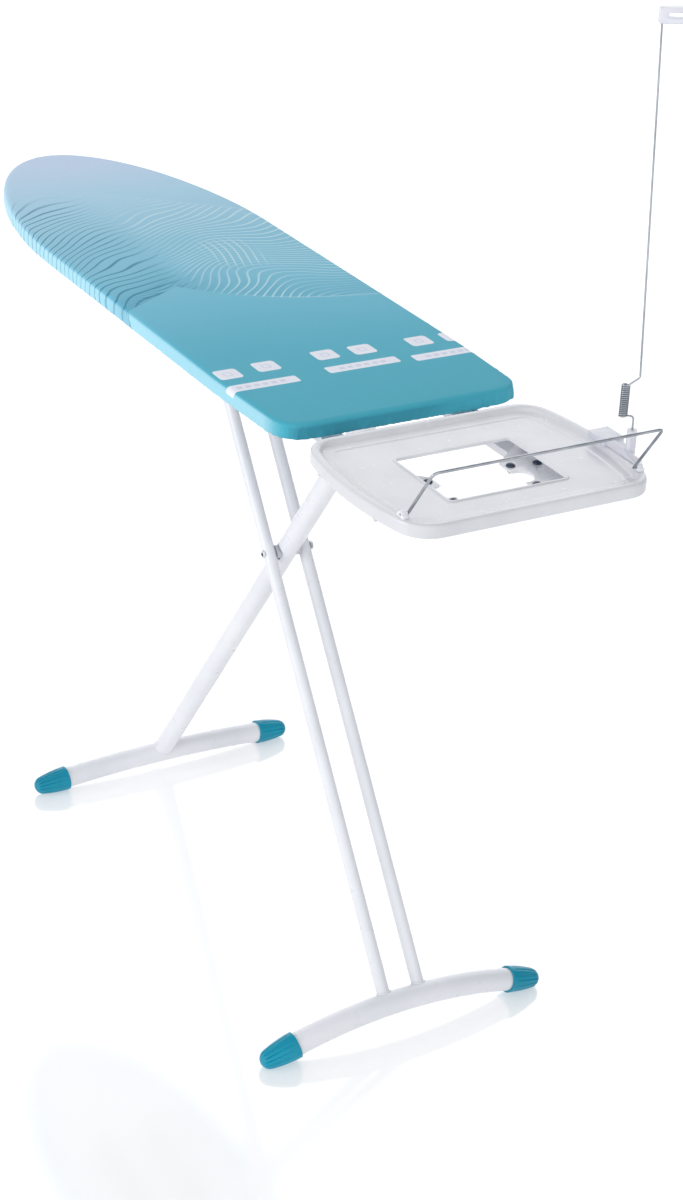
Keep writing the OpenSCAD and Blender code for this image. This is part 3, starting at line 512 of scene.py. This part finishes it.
def make_cover(material):
    outline = mirrored(half_board(), COVER_POINTS)
    out = normals(outline)
    count = len(outline)
    # How sharply the edge turns, as a running mean round the closed outline
    bend = np.linalg.norm(np.roll(out, -3, axis=0) - np.roll(out, 3, axis=0), axis=1)
    window, lap = 37, 25
    wrapped = np.concatenate([bend[-lap:], bend, bend[:lap]])
    bend = np.convolve(wrapped, np.ones(window) / window, "same")[lap:-lap]
    gather = np.clip(bend / bend.max(), 0, 1) ** 0.6
    # Long soft waves along the sides and finer gathers where the edge turns
    around = TAU * np.arange(count) / count
    spacing = np.linalg.norm(outline[1] - outline[0])

    def ripple(lengths):
        total = np.zeros(count)
        for length, size in lengths:
            turns = round(count * spacing / (length * MM))
            total += size * np.sin(turns * around + random.uniform(0, TAU))
        return total

    wave = ripple(((110, 0.9), (67, 0.8), (43, 0.5)))
    wave += gather * ripple(((26, 0.9), (17, 1.3), (12.5, 0.9)))
    wave += [1.2 * noise.noise(Vector((p[0] * 60, p[1] * 60, 3.0))) for p in outline]
    # The board is just inside, so every fold stands outwards
    wave = np.log1p(np.exp(1.6 * wave)) / 1.6
    # The cloth is bunched most near the tail's right-hand corner
    bunched = np.exp(-((outline - (TAIL_X, 125 * MM)) ** 2).sum(axis=1) / (55 * MM) ** 2)
    wave *= 1 + 0.9 * bunched
    gather = np.maximum(gather, 0.95 * bunched)
    rings = []
    for inset, down in COVER_PROFILE:
        low = min(1, down / SIDE_WALL)
        swell = (0.04 + 0.65 * gather) * low**0.8 * MM * wave
        under = max(0, (inset - HEM_IN) / HEM_L) if down > HEM_DOWN else 0
        side = outline + out * (swell * (1 - under) - inset * MM)[:, None]
        lift = (0.2 + 0.8 * gather) * wave * MM * 0.4 * under**0.8
        rings.append([(x, y, TOP_Z - down * MM - dz) for (x, y), dz in zip(side, lift)])
    top_z = rings[-1][0][2]
    edge = np.array(rings[-1])[:, :2]
    core_x = np.clip(edge[:, 0], NOSE_X + CORE_NOSE, TAIL_X - CORE_TAIL)
    core = np.stack([core_x, np.zeros_like(core_x)], axis=1)
    for share in (0.08, 0.2, 0.35, 0.5, 0.65, 0.8, 0.9, 1.0):
        rings.append([(x, y, top_z) for x, y in edge + (core - edge) * share])
    cover = new_object("cover_fabric", loft(rings), material)
    with edited(cover) as bm:
        bmesh.ops.remove_doubles(bm, verts=bm.verts, dist=1e-5)
        bmesh.ops.dissolve_degenerate(bm, edges=bm.edges, dist=1e-6)
        bmesh.ops.recalc_face_normals(bm, faces=bm.faces)
        top = max(bm.faces, key=lambda f: f.calc_center_median().z)
        if top.normal.z < 0:
            bmesh.ops.reverse_faces(bm, faces=bm.faces)
    return cover


def settle(cover):
    """Lets the skirt of the cover puff and crease between its drawn hem and the flat top."""
    rest = np.array([v.co for v in cover.data.vertices])
    held = cover.vertex_groups.new(name="held")
    hem_z, flat_z = TOP_Z - 21.5 * MM, TOP_Z - 0.9 * MM
    for v in cover.data.vertices:
        if v.co.z < hem_z or v.co.z > flat_z:
            held.add([v.index], 1.0, "REPLACE")
    cloth = modify(cover, "CLOTH")
    cloth.settings.quality = 6
    cloth.settings.mass = 0.2
    cloth.settings.tension_stiffness = 12
    cloth.settings.compression_stiffness = 12
    cloth.settings.bending_stiffness = 0.4
    cloth.settings.shrink_min = -0.03
    cloth.settings.use_pressure = True
    cloth.settings.uniform_pressure_force = 3.5
    cloth.settings.effector_weights.gravity = 0
    cloth.settings.vertex_group_mass = "held"
    cloth.collision_settings.use_collision = False
    cloth.point_cache.frame_start, cloth.point_cache.frame_end = 1, CLOTH_FRAMES
    scene = bpy.context.scene
    for f in range(1, CLOTH_FRAMES + 1):
        scene.frame_set(f)
    dg = bpy.context.evaluated_depsgraph_get()
    moved = np.array([v.co for v in cover.evaluated_get(dg).data.vertices]) - rest
    cover.modifiers.clear()
    facing = np.zeros(len(rest) * 3)
    cover.data.vertices.foreach_get("normal", facing)
    facing = facing.reshape(-1, 3)
    # The board is just inside, so the cloth moves out from it and hardly in
    inward = np.minimum((moved * facing).sum(axis=1) + 0.15 * MM, 0)
    moved -= facing * inward[:, None]
    size = np.linalg.norm(moved, axis=1)
    cap = 1.8 * MM
    moved *= (cap * np.tanh(size / cap) / np.maximum(size, 1e-9))[:, None]
    cover.data.vertices.foreach_set("co", (rest + moved).astype(np.float32).ravel())
    cover.data.update()
    scene.frame_set(1)
    print("cover moved by at most", round(float(size.max()) / MM, 2), "mm")


# ---------------------------------------------------------------- materials in use
POWDER = powder_coat()
GLOSS_WHITE = gloss_plastic("gloss_white", srgb(232, 233, 239), srgb(240, 241, 246), 0.16, 0.3)
TEAL = gloss_plastic("teal_plastic", srgb(0, 132, 159), srgb(0, 147, 175), 0.26, 0.18, 0.2)
WIRE = steel("bright_wire", srgb(150, 155, 162), srgb(182, 186, 192), 0.16)
ZINC = steel("zinc_sheet", srgb(170, 174, 180), srgb(196, 199, 204), 0.28)
BLACKENED = steel("blackened_screw", srgb(62, 68, 82), srgb(88, 95, 112), 0.25)
DARK = dark_plastic()
FELT = felt()
CLOTH = cover_cloth()
# The tray's white is painted a shade greyer than the other white plastic, as painted shade for the shade that
# falls on its floor
TRAY_SHADED_WHITE = gloss_plastic("tray_white", srgb(211, 212, 217), srgb(218, 219, 224), 0.22, 0.3)
MILKY = milky_plastic()
BOLT = recessed_bolt()
GREY = gloss_plastic("grey_plastic", srgb(184, 186, 192), srgb(196, 198, 204), 0.4, 0.1)

SLOT_LOOKS = {
    "white_powder_coat": POWDER,
    "white_plastic": GLOSS_WHITE,
    "teal_plastic": TEAL,
    "dark_plastic": DARK,
    "dark_screw": BLACKENED,
    "bright_steel": ZINC,
    "cover_cloth": CLOTH,
    "felt": FELT,
}
# Nodes that differ from the rest of their slot
NODE_LOOKS = {
    "bail": WIRE,
    "release_rod": WIRE,
    "cable_socket": MILKY,
    "cable_clip": MILKY,
    "cross_spacers": GREY,
    "cross_bolt": BOLT,
}
for name, node in frame["nodes"].items():
    node.data.materials.clear()
    node.data.materials.append(NODE_LOOKS.get(name) or SLOT_LOOKS[SLOT_OF[name]])

cover = make_cover(CLOTH)
settle(cover)
modify(cover, "SOLIDIFY", thickness=CLOTH_T * MM, offset=0)
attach(cover, "board")
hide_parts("cover")


# ---------------------------------------------------------------- shapes shared by the pieces below
def stand_in(made, node):
    """made is shown in the place of a CAD node and moves with that node's body."""
    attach(made, BODY_OF[node])
    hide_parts(node)
    return made


def rounded_path(points, radius, steps=8):
    """The line through points with its inner corners rounded."""
    points = [Vector(p) for p in points]
    path = [points[0]]
    for before, corner, after in zip(points, points[1:], points[2:]):
        back, on = (before - corner).normalized(), (after - corner).normalized()
        half = back.angle(on) / 2
        centre = corner + (back + on).normalized() * radius / math.sin(half)
        start = (corner + back * radius / math.tan(half) - centre).normalized()
        end = (corner + on * radius / math.tan(half) - centre).normalized()
        path += [centre + start.slerp(end, i / steps) * radius for i in range(steps + 1)]
    return path + [points[-1]]


def wire_rings(path, radius, sides=16, closed=False):
    """Circles across a path, turned as little as possible from one to the next."""
    rings = []
    across = None
    for i, p in enumerate(path):
        if closed:
            along = (path[(i + 1) % len(path)] - path[i - 1]).normalized()
        else:
            along = (path[min(i + 1, len(path) - 1)] - path[max(i - 1, 0)]).normalized()
        if across is None:
            across = along.orthogonal()
        across = (across - along * across.dot(along)).normalized()
        third = along.cross(across)
        r = radius(i) if callable(radius) else radius
        turns = [TAU * k / sides for k in range(sides)]
        rings.append([p + (across * math.cos(a) + third * math.sin(a)) * r for a in turns])
    return rings


def wire(name, path, radius, material):
    """A round wire with a slightly chamfered flat end."""
    rings = wire_rings(path, radius)
    ends = []
    for ring, p, inner in ((rings[0], path[0], path[1]), (rings[-1], path[-1], path[-2])):
        out = (p - inner).normalized() * radius * 0.15
        ends.append([p + out + (q - p) * 0.8 for q in ring])
    rings = [ends[0], *rings, ends[1]]
    vertices, edges, faces = loft(rings)
    count = len(rings[0])
    faces += [tuple(range(count))[::-1], tuple(range(len(vertices) - count, len(vertices)))]
    return crisp(new_object(name, (vertices, edges, faces), material), 50)


def crisp(obj, degrees):
    """Shades obj smooth, but keeps edges sharper than this crisp."""
    obj.data.set_sharp_from_angle(angle=math.radians(degrees))
    return obj


def face_outwards(obj):
    with edited(obj) as bm:
        bmesh.ops.recalc_face_normals(bm, faces=bm.faces)
    return obj


def softened(node, width):
    """A CAD node with its edges rounded, shown in its place."""
    bm = bmesh.new()
    bm.from_mesh(frame["nodes"][node].data)
    bmesh.ops.remove_doubles(bm, verts=bm.verts, dist=1e-6)
    bmesh.ops.dissolve_limit(bm, angle_limit=math.radians(1), verts=bm.verts, edges=bm.edges)
    made = new_object(node + "_rounded", bm, frame["nodes"][node].data.materials[0])
    bevel = modify(made, "BEVEL", width=width, segments=2, use_clamp_overlap=True)
    bevel.limit_method, bevel.angle_limit = "ANGLE", math.radians(50)
    apply_modifiers(made)
    return stand_in(crisp(made, 35), node)


# ---------------------------------------------------------------- felt pad under the cover
# Distance in from the board's edge, and height on a scale where the pad's CAD box is PAD_SCALE high
PAD_PROFILE = [
    (30, 0), (8, 0), (2.2, 0.0), (1.7, 0.5), (1.6, 1.6), (2.0, 2.7), (3.0, 3.7), (4.6, 4.3), (7.5, 4.5),
    (14, 4.55), (30, 4.6),
]
PAD_SCALE = 5
PAD_CORE_NOSE, PAD_CORE_TAIL = 0.16, 0.14


def make_pad():
    low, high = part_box("board_pad")
    outline = mirrored(half_board(), 220)
    out = normals(outline)
    rise = (high.z - low.z) / PAD_SCALE
    rings = []
    for inset, up in PAD_PROFILE:
        rings.append([(x, y, low.z + up * rise) for x, y in outline - out * inset * MM])
    core = [(min(max(x, NOSE_X + PAD_CORE_NOSE), TAIL_X - PAD_CORE_TAIL), 0) for x, y in outline]

    def inner(ring, share):
        moved = zip(ring, core)
        return [(x + (cx - x) * share, y + (cy - y) * share, z) for (x, y, z), (cx, cy) in moved]

    shares = (0.25, 0.6, 1)
    bottom = [inner(rings[0], share) for share in reversed(shares)]
    top = [inner(rings[-1], share) for share in shares]
    pad = new_object("felt_pad", loft([*bottom, *rings, *top]), FELT)
    with edited(pad) as bm:
        bmesh.ops.remove_doubles(bm, verts=bm.verts, dist=1e-5)
        bmesh.ops.recalc_face_normals(bm, faces=bm.faces)
    stand_in(pad, "board_pad")


make_pad()


# ---------------------------------------------------------------- tray
tray_low, tray_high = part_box("tray_shell")
TRAY_X0, TRAY_X1, TRAY_HALF = tray_low.x, tray_high.x, tray_high.y
TRAY_MID = (TRAY_X0 + TRAY_X1) / 2
TRAY_FLOOR = TOP_Z - 15 * MM
TRAY_BULGE, TRAY_CORNER = 20 * MM, 44 * MM
# The window in the tray's floor: two ends and half its width
WINDOW = (TAIL_X + 115 * MM, TAIL_X + 250 * MM, 86 * MM)
WINDOW_R = 5 * MM
# Distance in from the outline and height above the floor: under the floor, round the skirt and over the rim
TRAY_PROFILE = [
    (34, -3.0), (22, -3.0), (14, -3.0), (6, -3.2), (3.6, -3.8), (2.7, -5.2), (2.5, -7.5), (2.4, -9.6),
    (1.9, -10), (0.6, -10), (0.1, -9.6), (0, -8.4), (0, -4), (0.0, 0), (0.15, 2.8), (0.6, 4.9), (1.5, 6.5),
    (2.9, 7.6), (4.7, 8.0), (6.9, 8.0), (9.2, 7.6), (11.2, 6.7), (12.8, 5.2), (13.9, 3.4), (14.9, 1.8),
    (16.3, 0.85), (18.5, 0.55), (24, 0.5), (28.5, 0.5), (29.6, 0.35), (30.6, -0.35), (31.6, -0.5), (34, -0.5),
]
# Distance out from the window and height above the floor: its raised lip, from the floor to the underside
WINDOW_LIP = [
    (4.4, -0.5), (4.0, -0.2), (3.5, 0.75), (2.9, 1.1), (1.0, 1.1), (0.35, 0.9), (0, 0.3), (0, -2.4),
    (0.6, -3.0),
]
# Screw posts under the floor: distance from the tail, distance from the middle
POST_X, POST_Y = (124 * MM, 216 * MM), 109 * MM
# Round boss with a dished top beside the bail's right foot: radius and height above the floor
BOSS_FROM_END, BOSS_FROM_SIDE = 24 * MM, 38 * MM
BOSS = [
    (10.4, -1), (10.2, 1.2), (9.9, 3.2), (9.2, 4.0), (8.0, 4.0), (6.9, 3.6), (6.0, 2.2), (4.0, 1.6),
    (1.0, 1.5),
]
# Two small tabs under the left-hand skirt, this far from the tray's inner end
TAB_X = (62 * MM, 206 * MM)
TAB = [(1.6, -13.4), (2.6, -12.8), (2.8, -11), (2.8, -8)]


def tray_side(x):
    """(half width, slope in radians) of the tray's bowed side."""
    half_length = (TRAY_X1 - TRAY_X0) / 2
    t = (x - TRAY_MID) / half_length
    return TRAY_HALF - TRAY_BULGE * t * t, math.atan(2 * TRAY_BULGE * t / half_length)


def half_tray():
    slope = tray_side(TRAY_X1 - TRAY_CORNER * 0.7)[1]
    side_x1 = TRAY_X1 - TRAY_CORNER * (1 - math.sin(slope))
    cx = side_x1 - TRAY_CORNER * math.sin(slope)
    cy = tray_side(side_x1)[0] - TRAY_CORNER * math.cos(slope)
    arc = [slope + (math.pi / 2 - slope) * i / 24 for i in range(25)]
    front = [(cx + TRAY_CORNER * math.sin(a), cy + TRAY_CORNER * math.cos(a)) for a in arc]
    back = [(2 * TRAY_MID - x, y) for x, y in front]
    side = [(x, tray_side(x)[0]) for x in np.linspace(2 * TRAY_MID - side_x1, side_x1, 50)[1:-1]]
    return [(TRAY_X0, 0), *back[::-1], *side, *front, (TRAY_X1, 0)]


def window_outline(grow):
    x0, x1, half = WINDOW[0] - grow, WINDOW[1] + grow, WINDOW[2] + grow
    r = WINDOW_R + grow
    left, right, near, far = x0 + r, x1 - r, r - half, half - r
    points = []
    for cx, cy, first in ((right, far, 0), (left, far, 90), (left, near, 180), (right, near, 270)):
        for i in range(9):
            a = math.radians(first + 90 * i / 8)
            points.append((cx + r * math.cos(a), cy + r * math.sin(a)))
    return points


def lathe(bm, x, y, profile, sides=40):
    """A round island in bm from (radius, height) pairs about an upright axis."""
    turns = [TAU * k / sides for k in range(sides)]
    rings = []
    for radius, height in profile:
        ring = [(x + radius * math.cos(a), y + radius * math.sin(a), height) for a in turns]
        rings.append([bm.verts.new(point) for point in ring])
    for low, high in zip(rings, rings[1:]):
        for k in range(sides):
            bm.faces.new((low[k], low[(k + 1) % sides], high[(k + 1) % sides], high[k]))
    bm.faces.new(rings[0][::-1])
    bm.faces.new(rings[-1])


def make_tray():
    outline = mirrored(half_tray(), 150)
    out = normals(outline)
    bm = bmesh.new()

    def add(ring, height):
        return [bm.verts.new((x, y, TRAY_FLOOR + height * MM)) for x, y in ring]

    def skin(rings):
        for low, high in zip(rings, rings[1:]):
            for k in range(len(low)):
                j = (k + 1) % len(low)
                bm.faces.new((low[k], low[j], high[j], high[k]))

    def fill(a, b):
        edges = [bm.edges.get((ring[k - 1], ring[k])) for ring in (a, b) for k in range(len(ring))]
        bmesh.ops.triangle_fill(bm, use_beauty=True, use_dissolve=False, edges=edges)

    shell = [add(outline - out * inset * MM, height) for inset, height in TRAY_PROFILE]
    skin(shell)
    window = [add(window_outline(grow * MM), height) for grow, height in WINDOW_LIP]
    skin(window)
    fill(shell[-1], window[0])
    fill(shell[0], window[-1])
    end, top = tray_low.z, TRAY_FLOOR - 2.6 * MM
    chamfer, flare = 0.4 * MM, 1.2 * MM
    post = [(5.1 * MM, end), (5.5 * MM, end + chamfer), (5.5 * MM, top - flare), (6.9 * MM, top)]
    for x in POST_X:
        for side in (-1, 1):
            lathe(bm, TAIL_X + x, side * POST_Y, post)

    def above_floor(profile):
        return [(r * MM, TRAY_FLOOR + h * MM) for r, h in profile]

    lathe(bm, TRAY_X1 - BOSS_FROM_END, TRAY_HALF - BOSS_FROM_SIDE, above_floor(BOSS))
    for x in TAB_X:
        y = -tray_side(TRAY_X0 + x)[0] + 2.2 * MM
        lathe(bm, TRAY_X0 + x, y, above_floor(TAB), 20)
    bmesh.ops.recalc_face_normals(bm, faces=bm.faces)
    stand_in(crisp(new_object("tray", bm, TRAY_SHADED_WHITE), 32), "tray_shell")


make_tray()


# ---------------------------------------------------------------- foot caps and weld beads
CAP_L, CAP_R, CAP_TIP_R = 58 * MM, 20 * MM, 15 * MM
CAP_RIBS = 14
CAP_SIDE_R = (CAP_R**2 + (CAP_L - CAP_TIP_R) ** 2 - CAP_TIP_R**2) / (2 * (CAP_R - CAP_TIP_R))
# Radius and distance along the cap, from inside the bar over the rim to the plain band
CAP_RIM = [(0.5, 3.2), (17.1, 3.2), (17.15, 1.2), (17.5, 0.3), (18.3, 0), (19.2, 0.1)]
CAP_RIM_L = 0.7 * MM
FOOT_R = 17 * MM
WELD_R = 2.1 * MM
WELD_STEPS = 72
# The search for the weld starts at this height on the leg
WELD_START_Z = 120 * MM


class Foot:
    """One arched foot bar, set out as in the CAD from its length over the caps and its rise."""

    def __init__(self, name, arch):
        self.name = name
        self.x = (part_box(name + "_cap_left")[0].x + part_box(name + "_cap_left")[1].x) / 2
        length = 2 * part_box(name + "_cap_right")[1].y
        self.turn = 2 * math.atan(arch / (length / 2 - CAP_L))
        self.chord = length / 2 - CAP_L * math.cos(self.turn)
        self.arch_r = self.chord / math.sin(self.turn)
        self.end_z = CAP_SIDE_R - (CAP_SIDE_R - CAP_R) * math.cos(self.turn)
        self.centre_z = self.end_z + self.arch_r * (1 - math.cos(self.turn)) - self.arch_r

    def depth(self, p):
        """How far p is outside the bar's surface."""
        across = math.hypot(p.y, p.z - self.centre_z) - self.arch_r
        return math.hypot(p.x - self.x, across) - FOOT_R


def cap_radius(s):
    join = CAP_SIDE_R * math.sin(math.atan2(CAP_L - CAP_TIP_R, CAP_SIDE_R - CAP_R))
    if s < join:
        return CAP_R - CAP_SIDE_R + math.sqrt(CAP_SIDE_R**2 - s * s)
    return math.sqrt(max(0, CAP_TIP_R**2 - (s - CAP_L + CAP_TIP_R) ** 2))


def groove_depth(s):
    """Depth of the grooves: none on the plain band, deepest on the shoulder, none on the tip."""
    rise = min(1, max(0, (s - 5.5 * MM) / (5 * MM)))
    fall = min(1, max(0, (CAP_L - 2.2 * MM - s) / (5.5 * MM)))
    depth = (0.85 + 1.25 * (s / CAP_L) ** 1.5) * MM
    return depth * rise * rise * (3 - 2 * rise) * fall * fall * (3 - 2 * fall)


def make_cap(foot, side):
    base = Vector((foot.x, side * foot.chord, foot.end_z))
    along = Vector((0, side * math.cos(foot.turn), -math.sin(foot.turn)))
    down = along.cross(Vector((1, 0, 0)))
    if down.z > 0:
        down = -down
    third = along.cross(down)
    sides = CAP_RIBS * 16
    # Radius, distance along the cap and depth of the grooves
    plan = [(radius * MM, s * MM, 0) for radius, s in CAP_RIM]
    plan.append((cap_radius(CAP_RIM_L), CAP_RIM_L, 0))
    for i in range(1, 45):
        s = CAP_RIM_L + (CAP_L - CAP_RIM_L) * math.sin(math.pi / 2 * i / 45) ** 1.1
        plan.append((cap_radius(s), s, groove_depth(s)))
    rings = []
    for radius, s, depth in plan:
        ring = []
        for k in range(sides):
            a = TAU * k / sides
            rib = abs(math.cos(a * CAP_RIBS / 2)) ** 0.5
            r = radius - depth * (1 - rib)
            ring.append(base + along * s + (down * math.cos(a) + third * math.sin(a)) * r)
        rings.append(ring)
    vertices, edges, faces = loft(rings)
    faces += [tuple(range(sides))[::-1], tuple(range(len(vertices) - sides, len(vertices)))]
    node = f"{foot.name}_cap_{'left' if side < 0 else 'right'}"
    cap = new_object(node + "_ribbed", (vertices, edges, faces), TEAL)
    stand_in(crisp(face_outwards(cap), 40), node)


def weld_bead(name, foot, on_leg, along, leg_r, body):
    """A thin rippled bead where a leg tube meets the foot bar."""
    across = along.orthogonal().normalized()
    third = along.cross(across)
    inside_z = foot.centre_z + foot.arch_r - FOOT_R * 0.2
    path = []
    for k in range(WELD_STEPS):
        a = TAU * k / WELD_STEPS
        start = on_leg + (across * math.cos(a) + third * math.sin(a)) * leg_r
        # The surface is between a point inside the bar and the start, above it
        low, high = -(start.z - inside_z) / along.z, 0
        for _ in range(40):
            middle = (low + high) / 2
            if foot.depth(start + along * middle) > 0:
                high = middle
            else:
                low = middle
        path.append(start + along * high)
    ripple = [1 + 0.16 * noise.noise(Vector((k * 0.9, len(name), 1))) for k in range(WELD_STEPS)]
    rings = wire_rings(path, lambda i: WELD_R * ripple[i], 10, closed=True)
    bead = new_object(name, loft(rings, closed_path=True), POWDER)
    face_outwards(bead)
    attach(bead, body)


front_foot, rear_foot = Foot("front", 22 * MM), Foot("rear", 7 * MM)
for foot in (front_foot, rear_foot):
    for side in (-1, 1):
        make_cap(foot, side)
rear_along = (JOINT_AT["main_fold"] - CROSSING).normalized()
front_along = (JOINT_AT["slide_level"] - CROSSING).normalized()
MAIN_R, TWIN_R, TWIN_Y = 16 * MM, 9.5 * MM, 29 * MM
rear_start = CROSSING - rear_along * (CROSSING.z - WELD_START_Z) / rear_along.z
weld_bead("rear_weld", rear_foot, rear_start, rear_along, MAIN_R, "rear_leg")
front_start = CROSSING - front_along * (CROSSING.z - WELD_START_Z) / front_along.z
for side in (-1, 1):
    where = front_start + Vector((0, side * TWIN_Y, 0))
    name = f"front_weld_{'left' if side < 0 else 'right'}"
    weld_bead(name, front_foot, where, front_along, TWIN_R, "front_leg")


# ---------------------------------------------------------------- cable holder
WIRE_R = 1.3 * MM
COIL_R = 6 * MM - WIRE_R
COIL_L, COIL_TURNS = 46 * MM, 17
# The upper wire: its knee's distance from the coil's axis and height above the coil, and its lean above that
KNEE, KNEE_RISE, LEAN = 17 * MM, 8 * MM, 20 * MM
SWIVEL, FLEX = JOINT_AT["holder_swivel"], JOINT_AT["holder_flex"]


def make_holder():
    reach = Vector((SWIVEL.x - FLEX.x, SWIVEL.y - FLEX.y, 0))
    u = reach.normalized()
    v = Vector((-u.y, u.x, 0))
    centre = Vector((FLEX.x, FLEX.y, 0))
    low_z = FLEX.z - COIL_L / 2 + WIRE_R
    high_z = FLEX.z + COIL_L / 2 - WIRE_R
    # Angles round the coil at which the two straight ends leave it
    first = math.acos(COIL_R / reach.length)
    last = TAU * COIL_TURNS - math.acos(COIL_R / KNEE)

    def on_coil(angle):
        share = (angle - first) / (last - first)
        flat = (u * math.cos(angle) + v * math.sin(angle)) * COIL_R
        return centre + flat + Vector((0, 0, low_z + (high_z - low_z) * share))

    steps = COIL_TURNS * 28
    coil = [on_coil(first + (last - first) * i / steps) for i in range(steps + 1)]
    spring = wire("holder_coil", coil, WIRE_R * 0.98, WIRE)
    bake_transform(spring)
    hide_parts("holder_spring")

    bottom = Vector((SWIVEL.x, SWIVEL.y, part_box("holder_foot_wire")[0].z))
    corner = Vector((SWIVEL.x, SWIVEL.y, low_z))
    lower = rounded_path([bottom, corner, coil[0]], 4.2 * MM)
    stand_in(wire("holder_lower_wire", lower, WIRE_R, WIRE), "holder_foot_wire")

    top_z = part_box("cable_clip")[0].z + 3 * MM
    bend = centre + u * KNEE + Vector((0, 0, FLEX.z + COIL_L / 2 + KNEE_RISE))
    top = centre + u * (KNEE - LEAN) + Vector((0, 0, top_z))
    upper = rounded_path([coil[-1], bend, top], 4.5 * MM)
    stand_in(wire("holder_upper_wire", upper, WIRE_R, WIRE), "holder_wire")


def make_brake_spring():
    """The coil between the brake's housing and its plate."""
    low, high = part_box("brake_spring")
    wire_r = 0.6 * MM
    coil_r = (high.y - low.y) / 2 - wire_r
    middle = (low + high) / 2
    turns, steps = 5, 24
    path = []
    for i in range(turns * steps + 1):
        share = i / (turns * steps)
        # The end turns lie flat
        eased = share - 0.5 * math.sin(TAU * share) / TAU
        a = TAU * turns * share
        x = high.x - wire_r + (low.x - high.x + 2 * wire_r) * eased
        path.append(Vector((x, middle.y + coil_r * math.cos(a), middle.z + coil_r * math.sin(a))))
    coil = wire("brake_coil", path, wire_r, ZINC)
    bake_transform(coil)
    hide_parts("brake_spring")


make_holder()
make_brake_spring()

# Width of the rounding on the edges of moulded and bent parts
EDGE_WIDTHS = {
    "cable_socket": 1.0,
    "bail_clip_left": 0.9,
    "bail_clip_right": 0.9,
    "height_lever": 1.2,
    "cable_clip": 0.7,
    "tray_bracket_left": 0.35,
    "tray_bracket_right": 0.35,
    "bracket_screws": 0.35,
}
for node, width in EDGE_WIDTHS.items():
    softened(node, width * MM)


# ---------------------------------------------------------------- floor, lights and camera
def make_floor():
    """Pale, slightly shiny studio floor with a faint mirror image of the object."""
    g = Graph("studio_floor")
    g.set(Base_Color=(0.62, 0.62, 0.625), Roughness=0.1, Metallic=0.2, Specular_IOR_Level=0.5)
    g.set(Emission_Color=(1, 1, 1), Emission_Strength=0.42)
    bm = bmesh.new()
    bmesh.ops.create_grid(bm, x_segments=4, y_segments=4, size=30)
    floor = new_object("studio_floor", bm, g.material)


def area_light(name, place, target, size, power, colour=(1, 1, 1)):
    light = bpy.data.lights.new(name, "AREA")
    light.shape = "RECTANGLE"
    light.size, light.size_y = size
    light.energy = power
    light.color = colour
    made = bpy.data.objects.new(name, light)
    made.location = place
    made.rotation_euler = (Vector(target) - Vector(place)).to_track_quat("-Z", "Y").to_euler()
    bpy.context.scene.collection.objects.link(made)


# Direction, cosines between which the lobe rises, and its strength; the first one is the same all round
LOBES = [
    ((0, 0, 1), -2, -1, 0.35),
    ((-0.78, 0.46, 0.42), 0.74, 0.9, 1.3),
    ((-0.1, -0.95, 0.25), 0.1, 1.0, 0.3),
    ((0.9, -0.25, 0.02), 0.0, 1.0, 0.95),
]


def make_world():
    """Soft even surround with a bright lobe behind the nose and low ones from -Y and the tray's end."""
    world = bpy.data.worlds.new("studio")
    bpy.context.scene.world = world
    world.use_nodes = True
    tree = world.node_tree
    way = tree.nodes.new("ShaderNodeTexCoord").outputs["Generated"]
    level = None
    for direction, low, high, gain in LOBES:
        dot = tree.nodes.new("ShaderNodeVectorMath")
        dot.operation = "DOT_PRODUCT"
        dot.inputs[1].default_value = Vector(direction).normalized()
        tree.links.new(way, dot.inputs[0])
        lobe = tree.nodes.new("ShaderNodeMapRange")
        lobe.interpolation_type = "SMOOTHSTEP"
        for key, value in (("From Min", low), ("From Max", high), ("To Max", gain)):
            lobe.inputs[key].default_value = value
        tree.links.new(dot.outputs["Value"], lobe.inputs["Value"])
        if level is None:
            level = lobe.outputs[0]
            continue
        total = tree.nodes.new("ShaderNodeMath")
        tree.links.new(level, total.inputs[0])
        tree.links.new(lobe.outputs[0], total.inputs[1])
        level = total.outputs[0]
    tree.nodes["Background"].inputs[0].default_value = (0.975, 0.985, 1.0, 1)
    tree.links.new(level, tree.nodes["Background"].inputs[1])


def make_camera():
    azimuth, elevation, roll = 1.036, 0.474, 0.050
    camera = bpy.data.cameras.new("camera")
    camera.lens = 71.70
    camera.sensor_width = 36
    camera.clip_end = 200
    made = bpy.data.objects.new("camera", camera)
    bpy.context.scene.collection.objects.link(made)
    bpy.context.scene.camera = made
    level = math.cos(elevation)
    back = Vector((math.sin(azimuth) * level, -math.cos(azimuth) * level, math.sin(elevation)))
    right = Vector((0, 0, 1)).cross(back).normalized()
    up = back.cross(right)
    c, s = math.cos(roll), math.sin(roll)
    turned = [c * right + s * up, -s * right + c * up, back]
    made.rotation_mode = "QUATERNION"
    made.rotation_quaternion = Matrix(turned).transposed().to_quaternion()
    made.location = (TAIL_X + 2466.04 * MM, -1546.48 * MM, 2146.145 * MM)


make_floor()
make_world()
area_light("key", (-0.5, -4.6, 1.9), (0, 0, 0.6), (2.4, 2.4), 72)
area_light("top", (0.2, -0.3, 4.4), (0.0, 0, 0.9), (3.2, 3.2), 3)
make_camera()
bpy.context.scene.view_settings.view_transform = "Standard"
